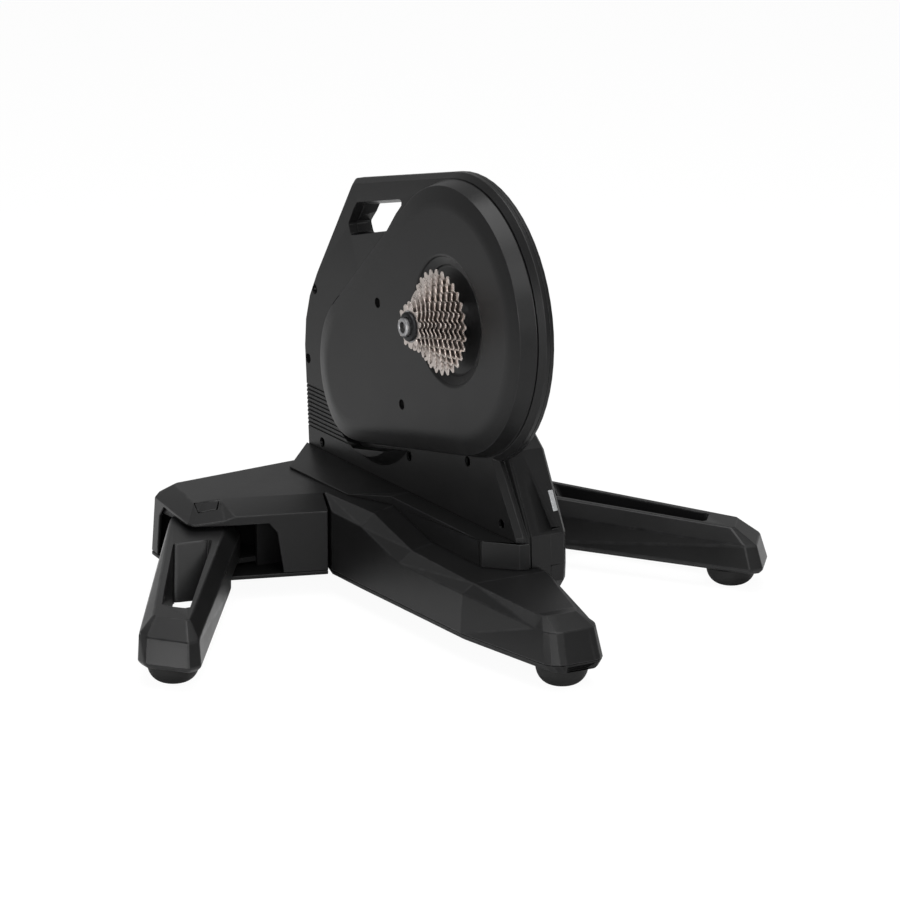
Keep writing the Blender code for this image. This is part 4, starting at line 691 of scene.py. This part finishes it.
# The belt cover is a thin round moulding with a tail: a flat face, a sloping band round it, a crisp
# edge and a short side wall. A dished recess clears the largest sprocket. Its outline is a disc
# and a smaller tail circle with a tangent above and a straight cut below, so one tree makes it.
cover_radius, tail_radius = 0.150, 0.0925
tail_from_hub = (-0.210, -0.1085)
cover_low_angle = math.radians(-79.3)
cover_front, cover_edge, cover_back = -0.0030, 0.0010, 0.0199
cover_wall, cover_draft, band_width, corner_ease = 0.0022, 0.0050, 0.0200, 0.0450
recess_radius, recess_depth, hub_hole = 0.0714, 0.0080, 0.0210


def cover_section():
    """The cover's section as (offset from outline or radius, depth along Y, 0 outline or 1 circle)."""
    round_off, crisp, ease, flat_from = 0.0003, 0.0009, 0.0070, 0.0450
    lip, cone, lip_turn = 0.0040, 0.0090, math.radians(60.0)
    draft_share, wall_share, wall_start = 0.86, 0.94, 0.0008
    hub_round, cone_foot, cone_head = 0.0006, 0.0010, 0.0045
    wall_top = cover_edge + crisp
    slope = (cover_edge - cover_front) / band_width
    straight = band_width - ease
    dish = cover_front + recess_depth
    points = [(cover_draft - cover_wall, cover_back, 0), (cover_draft - round_off, cover_back, 0),
              (cover_draft, cover_back - round_off, 0)]
    # The side wall rises with a little draft to the crisp edge.
    for k in range(5):
        share = k / 4
        points.append((draft_share * cover_draft * (1 - share),
                       cover_back - wall_start - wall_share * (cover_back - wall_top) * share, 0))
    for k in range(6):
        a = math.radians(90.0 * k / 5)
        points.append((-crisp * (1 - math.cos(a)) - 0.0001, wall_top - crisp * math.sin(a), 0))
    # The band slopes in from the edge and eases into the flat face.
    for k in range(1, 4):
        points.append((-straight * k / 3, cover_edge - slope * straight * k / 3, 0))
    for k in range(1, 9):
        share = k / 8
        points.append((-straight - 2 * ease * share,
                       cover_edge - slope * (straight + 2 * ease * (share - share * share / 2)), 0))
    points.append((-flat_from, cover_front, 0))
    # The recess goes down over a rounded lip and a cone to its flat floor.
    for k in range(6):
        a = lip_turn * k / 5
        points.append((recess_radius + lip * (1 - math.sin(a) / math.sin(lip_turn)),
                       cover_front + lip * (1 - math.cos(a)), 1))
    for k in range(6):
        a = lip_turn * (1 - k / 5)
        points.append((recess_radius - cone - lip * (1 - math.sin(a) / math.sin(lip_turn)),
                       dish - lip * (1 - math.cos(a)), 1))
    # The inside follows the outside a wall's thickness away.
    behind_dish, behind_face = dish + cover_wall, cover_front + cover_wall
    points += [(hub_hole + hub_round, dish, 1), (hub_hole, dish + hub_round, 1), (hub_hole, behind_dish, 1),
               (recess_radius - cone_foot, behind_dish, 1), (recess_radius + cone_head, behind_face, 1),
               (-flat_from, behind_face, 0), (-band_width, behind_face, 0),
               (-cover_wall, cover_edge + cover_wall, 0)]
    return points


def value_of(tree, operation, one, two=None, kind="ShaderNodeMath", out="Value"):
    """What a math node gives for one or two sockets or numbers."""
    made = node_of(tree, kind, {"operation": operation})
    for place, value in enumerate((one, two)):
        if isinstance(value, (int, float)):
            made.inputs[place].default_value = value
        elif value is not None:
            tree.links.new(value, made.inputs[place])
    return made.outputs[out]


def vector_of(tree, operation, one, two, out="Vector"):
    """What a vector math node gives for two sockets."""
    return value_of(tree, operation, one, two, "ShaderNodeVectorMath", out)


def scaled(tree, vector, by):
    """A vector times a value."""
    made = node_of(tree, "ShaderNodeVectorMath", {"operation": "SCALE"})
    tree.links.new(vector, made.inputs["Vector"])
    tree.links.new(by, made.inputs["Scale"])
    return made.outputs["Vector"]


def either(tree, switch, first, second):
    """One vector where a switch is 0, and another where it is 1."""
    made = node_of(tree, "ShaderNodeMix", {"data_type": "VECTOR"})
    tree.links.new(switch, made.inputs[0])
    tree.links.new(first, made.inputs["A"])
    tree.links.new(second, made.inputs["B"])
    return made.outputs["Result"]


def round_cover_tree():
    """Turns a section, given as a row of points, into the closed cover round its outline."""
    tree, source, sink = geometry_group("belt_cover_shape", (
        ("Disc Radius", "Float"), ("Tail Radius", "Float"), ("Tail Place", "Vector"), ("Cut Way", "Vector"),
        ("Corner", "Float"), ("Hub", "Vector"), ("Rows", "Int"), ("Turns", "Int"), ("Finish", "Material")))
    link = tree.links.new

    cells = node_of(tree, "GeometryNodeMeshGrid")
    rows = value_of(tree, "ADD", source.outputs["Rows"], 1)
    link(value_of(tree, "ADD", source.outputs["Turns"], 1), cells.inputs["Vertices X"])
    link(rows, cells.inputs["Vertices Y"])
    index = tree.nodes.new("GeometryNodeInputIndex").outputs[0]
    column = value_of(tree, "FLOOR", value_of(tree, "DIVIDE", value_of(tree, "ADD", index, 0.5), rows))
    row = value_of(tree, "SUBTRACT", index, value_of(tree, "MULTIPLY", column, rows))
    wrapped = value_of(tree, "MODULO", value_of(tree, "ADD", row, 0.25), source.outputs["Rows"])
    turn = value_of(tree, "MULTIPLY", value_of(tree, "DIVIDE", column, source.outputs["Turns"]), 2 * math.pi)
    ray = tree.nodes.new("ShaderNodeCombineXYZ")
    link(value_of(tree, "COSINE", turn), ray.inputs["X"])
    link(value_of(tree, "SINE", turn), ray.inputs["Y"])
    way = ray.outputs[0]
    section = node_of(tree, "GeometryNodeSampleIndex", {"data_type": "FLOAT_VECTOR", "domain": "POINT"})
    link(source.outputs["Geometry"], section.inputs["Geometry"])
    link(tree.nodes.new("GeometryNodeInputPosition").outputs[0], section.inputs["Value"])
    link(value_of(tree, "FLOOR", wrapped), section.inputs["Index"])
    parts = tree.nodes.new("ShaderNodeSeparateXYZ")
    link(section.outputs["Value"], parts.inputs[0])
    offset, depth, circle = parts.outputs["X"], parts.outputs["Y"], parts.outputs["Z"]
    tail_place, cut_way = source.outputs["Tail Place"], source.outputs["Cut Way"]
    disc = value_of(tree, "ADD", source.outputs["Disc Radius"], offset)
    tail = value_of(tree, "ADD", source.outputs["Tail Radius"], offset)
    tail_out = value_of(tree, "ADD", vector_of(tree, "DOT_PRODUCT", tail_place, way, "Value"), tail)
    on_tail = value_of(tree, "GREATER_THAN", tail_out, disc)
    tail_point = vector_of(tree, "ADD", tail_place, scaled(tree, way, tail))
    hull = either(tree, on_tail, scaled(tree, way, disc), tail_point)
    past_cut = value_of(tree, "SUBTRACT", vector_of(tree, "DOT_PRODUCT", hull, cut_way, "Value"), disc)
    eased = value_of(tree, "SMOOTH_MAX", past_cut, 0.0)
    link(source.outputs["Corner"], eased.node.inputs[2])
    beyond = value_of(tree, "MULTIPLY", eased, on_tail)
    outline = vector_of(tree, "SUBTRACT", hull, scaled(tree, cut_way, beyond))
    flat = tree.nodes.new("ShaderNodeSeparateXYZ")
    link(either(tree, circle, outline, scaled(tree, way, offset)), flat.inputs[0])
    upright = tree.nodes.new("ShaderNodeCombineXYZ")
    link(flat.outputs["X"], upright.inputs["X"])
    link(depth, upright.inputs["Y"])
    link(flat.outputs["Y"], upright.inputs["Z"])
    moved = tree.nodes.new("GeometryNodeSetPosition")
    link(cells.outputs["Mesh"], moved.inputs["Geometry"])
    link(vector_of(tree, "ADD", upright.outputs[0], source.outputs["Hub"]), moved.inputs["Position"])
    closed = node_of(tree, "GeometryNodeMergeByDistance", Distance=0.000002)
    plain = tree.nodes.new("GeometryNodeRealizeInstances")
    coat = tree.nodes.new("GeometryNodeSetMaterial")
    link(moved.outputs[0], closed.inputs["Geometry"])
    link(closed.outputs[0], plain.inputs["Geometry"])
    link(plain.outputs[0], coat.inputs["Geometry"])
    link(source.outputs["Finish"], coat.inputs["Material"])
    link(coat.outputs[0], sink.inputs["Geometry"])
    return tree


cover_turns, cover_sharp = 240, 24.0
section_points = cover_section()
row_of_points = bpy.data.meshes.new("belt_guard")
row_of_points.from_pydata(section_points, [], [])
belt_guard = bpy.data.objects.new("belt_guard", row_of_points)
bpy.context.scene.collection.objects.link(belt_guard)
run_tree(belt_guard, round_cover_tree(), {
    "Disc Radius": cover_radius, "Tail Radius": tail_radius, "Tail Place": (*tail_from_hub, 0.0),
    "Cut Way": (math.cos(cover_low_angle), math.sin(cover_low_angle), 0.0), "Corner": corner_ease,
    "Hub": (hub[0], 0.0, hub[1]), "Rows": len(section_points), "Turns": cover_turns, "Finish": shell_plastic})
outward(belt_guard, cover_sharp)

# Its two screws sit in wells: a hole through the flat face, with a short closed tube behind it.
well_radius, well_floor, well_wall, well_turns = 0.0060, 0.0046, 0.0012, 40
drill_start, drill_end, well_front = cover_front - 0.01, cover_back - 0.008, cover_front + 0.0004
for node in ("cover_screw_1", "cover_screw_2"):
    drill = turned_mesh("drill", [(0.0, drill_start), (well_radius, drill_start), (well_radius, drill_end),
                                  (0.0, drill_end)], middle_of(node), shell_plastic, "Y", well_turns)
    hole = belt_guard.modifiers.new("hole", "BOOLEAN")
    hole.object = drill
    hole.operation = "DIFFERENCE"
    as_plain_mesh(belt_guard)
    bpy.data.objects.remove(drill)
bm = bmesh.new()
bm.from_mesh(belt_guard.data)
for node in ("cover_screw_1", "cover_screw_2"):
    outer, back = well_radius + well_wall, well_floor + well_wall
    well = turned_mesh("well", [(0.0, well_floor), (well_radius, well_floor), (well_radius, well_front),
                                (outer, well_front), (outer, back), (0.0, back)],
                       middle_of(node), shell_plastic, "Y", well_turns)
    bm.from_mesh(well.data)
    bpy.data.objects.remove(well)
bm.to_mesh(belt_guard.data)
bm.free()
belt_guard.data.shade_smooth()
belt_guard.data.set_sharp_from_angle(angle=math.radians(cover_sharp))
belt_guard.modifiers.new("even", "WEIGHTED_NORMAL").keep_sharp = True
as_plain_mesh(belt_guard)

# The crisp edge gets the lighter edge colour, a painted highlight line: narrow faces near its depth that face
# outwards at a slant.
rim_low, rim_high, rim_face_area = cover_edge - 0.0001, cover_edge + 0.0007, 0.00001
belt_guard.data.materials.clear()
belt_guard.data.materials.append(shell_plastic)
belt_guard.data.materials.append(shell_plastic)
for face in belt_guard.data.polygons:
    slanted = -0.97 < face.normal.y < -0.25
    on_rim = slanted and rim_low < face.center.y < rim_high and face.area < rim_face_area
    face.material_index = int(on_rim)
mark_edges(belt_guard.data)
fit(belt_guard, "shell", "belt_cover")
screws("cover_screws", ["cover_screw_1", "cover_screw_2"])


# The freehub is an alloy body that the cassette slides on. The cassette is eleven stamped sprockets
# of nickel plated steel, with a black moulded collar between each two. The teeth follow the
# bicycle chain: a pitch of 12.7 mm, a round seat for each roller and a narrow blunt tip.
dress(machined_alloy, "freehub_body")
chain_pitch = 0.0127
tooth_rise, tooth_root, tip_half_width, flank_share = 0.0025, 0.0034, 0.0008, 0.46
points_on_tooth = 16


def sprocket_tree():
    """A toothed plate with a bored collar, standing on the hub's axis."""
    tree, source, sink = geometry_group("toothed_plate", (
        ("Teeth", "Int"), ("Points", "Int"), ("Tip Radius", "Float"), ("Root Radius", "Float"),
        ("Tip Half", "Float"), ("Bore Radius", "Float"), ("Thickness", "Float"),
        ("Collar Radius", "Float"), ("Collar Length", "Float"), ("Place", "Vector"),
        ("Finish", "Material"), ("Spacer Finish", "Material")))
    link = tree.links.new
    ring = tree.nodes.new("GeometryNodeCurvePrimitiveCircle")
    ring.inputs["Radius"].default_value = 1.0
    teeth_points = value_of(tree, "MULTIPLY", source.outputs["Teeth"], source.outputs["Points"])
    link(teeth_points, ring.inputs["Resolution"])
    index = tree.nodes.new("GeometryNodeInputIndex").outputs[0]
    share = value_of(tree, "FRACT", value_of(tree, "DIVIDE", index, source.outputs["Points"]))
    from_middle = value_of(tree, "ABSOLUTE", value_of(tree, "SUBTRACT", share, 0.5))
    from_tip = value_of(tree, "MULTIPLY", from_middle, chain_pitch)
    flank = node_of(tree, "ShaderNodeMapRange", {"interpolation_type": "SMOOTHSTEP"},
                    From_Max=chain_pitch * flank_share)
    link(from_tip, flank.inputs["Value"])
    link(source.outputs["Tip Half"], flank.inputs["From Min"])
    link(source.outputs["Tip Radius"], flank.inputs["To Min"])
    link(source.outputs["Root Radius"], flank.inputs["To Max"])
    place = tree.nodes.new("GeometryNodeInputPosition").outputs[0]
    toothed = tree.nodes.new("GeometryNodeSetPosition")
    link(ring.outputs["Curve"], toothed.inputs["Geometry"])
    link(scaled(tree, place, flank.outputs["Result"]), toothed.inputs["Position"])
    bore = node_of(tree, "GeometryNodeCurvePrimitiveCircle", Resolution=64)
    collar = node_of(tree, "GeometryNodeCurvePrimitiveCircle", Resolution=64)
    link(source.outputs["Bore Radius"], bore.inputs["Radius"])
    link(source.outputs["Collar Radius"], collar.inputs["Radius"])
    plate = plate_nodes(tree, toothed.outputs[0], bore.outputs["Curve"], source.outputs["Thickness"])
    back = value_of(tree, "MULTIPLY", source.outputs["Collar Length"], -1.0)
    spacer = plate_nodes(tree, collar.outputs["Curve"], bore.outputs["Curve"],
                         source.outputs["Collar Length"], back)
    both = tree.nodes.new("GeometryNodeJoinGeometry")
    moulded = tree.nodes.new("GeometryNodeSetMaterial")
    link(spacer, moulded.inputs["Geometry"])
    link(source.outputs["Spacer Finish"], moulded.inputs["Material"])
    link(plate, both.inputs[0])
    link(moulded.outputs[0], both.inputs[0])
    stand = tree.nodes.new("GeometryNodeTransform")
    stand.inputs["Rotation"].default_value = (math.radians(90.0), 0.0, 0.0)
    link(both.outputs[0], stand.inputs["Geometry"])
    link(source.outputs["Place"], stand.inputs["Translation"])
    plain = tree.nodes.new("GeometryNodeRealizeInstances")
    coat = tree.nodes.new("GeometryNodeSetMaterial")
    is_spacer = tree.nodes.new("GeometryNodeMaterialSelection")
    is_plate = node_of(tree, "FunctionNodeBooleanMath", {"operation": "NOT"})
    link(source.outputs["Spacer Finish"], is_spacer.inputs[0])
    link(is_spacer.outputs[0], is_plate.inputs[0])
    link(is_plate.outputs[0], coat.inputs["Selection"])
    link(stand.outputs[0], plain.inputs["Geometry"])
    link(plain.outputs[0], coat.inputs["Geometry"])
    link(source.outputs["Finish"], coat.inputs["Material"])
    link(coat.outputs[0], sink.inputs["Geometry"])
    return tree


cog_nickel = finish("cog_nickel", (0.46, 0.41, 0.38), (0.62, 0.56, 0.525), (0.26, 0.38),
                    (2200.0, 0.00003), 120.0, 1.0, rub_and_highlight=(0.6, 0.05))
spacer_black = finish("spacer_black", (0.0040, 0.0040, 0.0040), (0.0070, 0.0070, 0.0070), (0.5, 0.62),
                      (1200.0, 0.00005), 60.0, specular=0.15)
toothed_plate = sprocket_tree()
bore_radius, collar_wall, least_collar = 0.0176, 0.0012, 0.0003
plate_thickness, stamped_edge = 0.0014, 0.00022
for teeth in (28, 25, 23, 21, 19, 17, 15, 14, 13, 12, 11):
    node = "sprocket_%d" % teeth
    low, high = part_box(node)
    pitch_radius = chain_pitch / 2 / math.sin(math.pi / teeth)
    face_y = low[1] + plate_thickness
    piece = bpy.data.objects.new("sprocket_%dt" % teeth, bpy.data.meshes.new("sprocket_%dt" % teeth))
    bpy.context.scene.collection.objects.link(piece)
    run_tree(piece, toothed_plate, {
        "Teeth": teeth, "Points": points_on_tooth, "Tip Radius": pitch_radius + tooth_rise,
        "Root Radius": pitch_radius - tooth_root, "Tip Half": tip_half_width, "Bore Radius": bore_radius,
        "Thickness": plate_thickness, "Collar Radius": bore_radius + collar_wall,
        "Collar Length": max(high[1] - face_y, least_collar), "Place": (hub[0], face_y, hub[1]),
        "Finish": cog_nickel, "Spacer Finish": spacer_black})
    piece.data.materials.append(cog_nickel)
    outward(piece)
    # The stamped chamfer takes the lighter edge colour: partly wear, partly a painted highlight.
    chamfer = piece.modifiers.new("stamped", "BEVEL")
    chamfer.limit_method = "ANGLE"
    chamfer.angle_limit = math.radians(60.0)
    chamfer.width = stamped_edge
    chamfer.segments = 1
    chamfer.material = len(piece.data.materials) - 1
    as_plain_mesh(piece)
    mark_edges(piece.data)
    fit(piece, "cogs", node)


# The lockring is a blackened threaded ring that clamps the cassette, with a smooth bored mouth. The
# axle ends in a plain alloy cap on each side, whose hole takes the bicycle's axle.
hub_black = turned_metal("lockring_black", (0.016, 0.016, 0.017), (0.030, 0.030, 0.031), (0.34, 0.46), hub)
cap_alloy = turned_metal("cap_alloy", (0.28, 0.28, 0.285), (0.38, 0.38, 0.385), (0.30, 0.42), hub)
low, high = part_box("lockring")
ring_outer, ring_inner, round_off, axle_turns = (high[0] - low[0]) / 2, 0.0105, 0.0006, 96
lockring_profile = [(ring_inner, high[1]), (ring_inner, low[1] + round_off), (ring_inner + round_off, low[1]),
                    (ring_outer - 0.0016, low[1]), (ring_outer - 0.0005, low[1] + 0.0005),
                    (ring_outer, low[1] + 0.0014), (ring_outer, high[1])]
lock = turned_mesh("cassette_lockring", lockring_profile, hub, hub_black, "Y", axle_turns)
fit(lock, "dark_metal", "lockring")

cap_hole, hole_depth, cap_bore, bore_depth = 0.0062, 0.0060, 0.0065, 0.0010
cap_chamfer, cap_straight, cap_neck = 0.0010, 0.0034, 0.0008
for node, name, faces_drive in (("axle_end_drive", "drive_end_cap", True),
                                ("axle_end_other", "other_end_cap", False)):
    low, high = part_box(node)
    cap = (high[0] - low[0]) / 2
    face, root, inward = (low[1], high[1], 1.0) if faces_drive else (high[1], low[1], -1.0)
    profile = [(cap_hole, face + inward * hole_depth), (cap_hole, face + inward * round_off),
               (cap_hole + round_off, face), (cap - cap_chamfer, face), (cap, face + inward * cap_chamfer),
               (cap, face + inward * cap_straight), (cap - cap_neck, root), (cap_bore, root),
               (cap_bore, root - inward * bore_depth)]
    fit(turned_mesh(name, profile, hub, cap_alloy, "Y", axle_turns), "alloy", node)
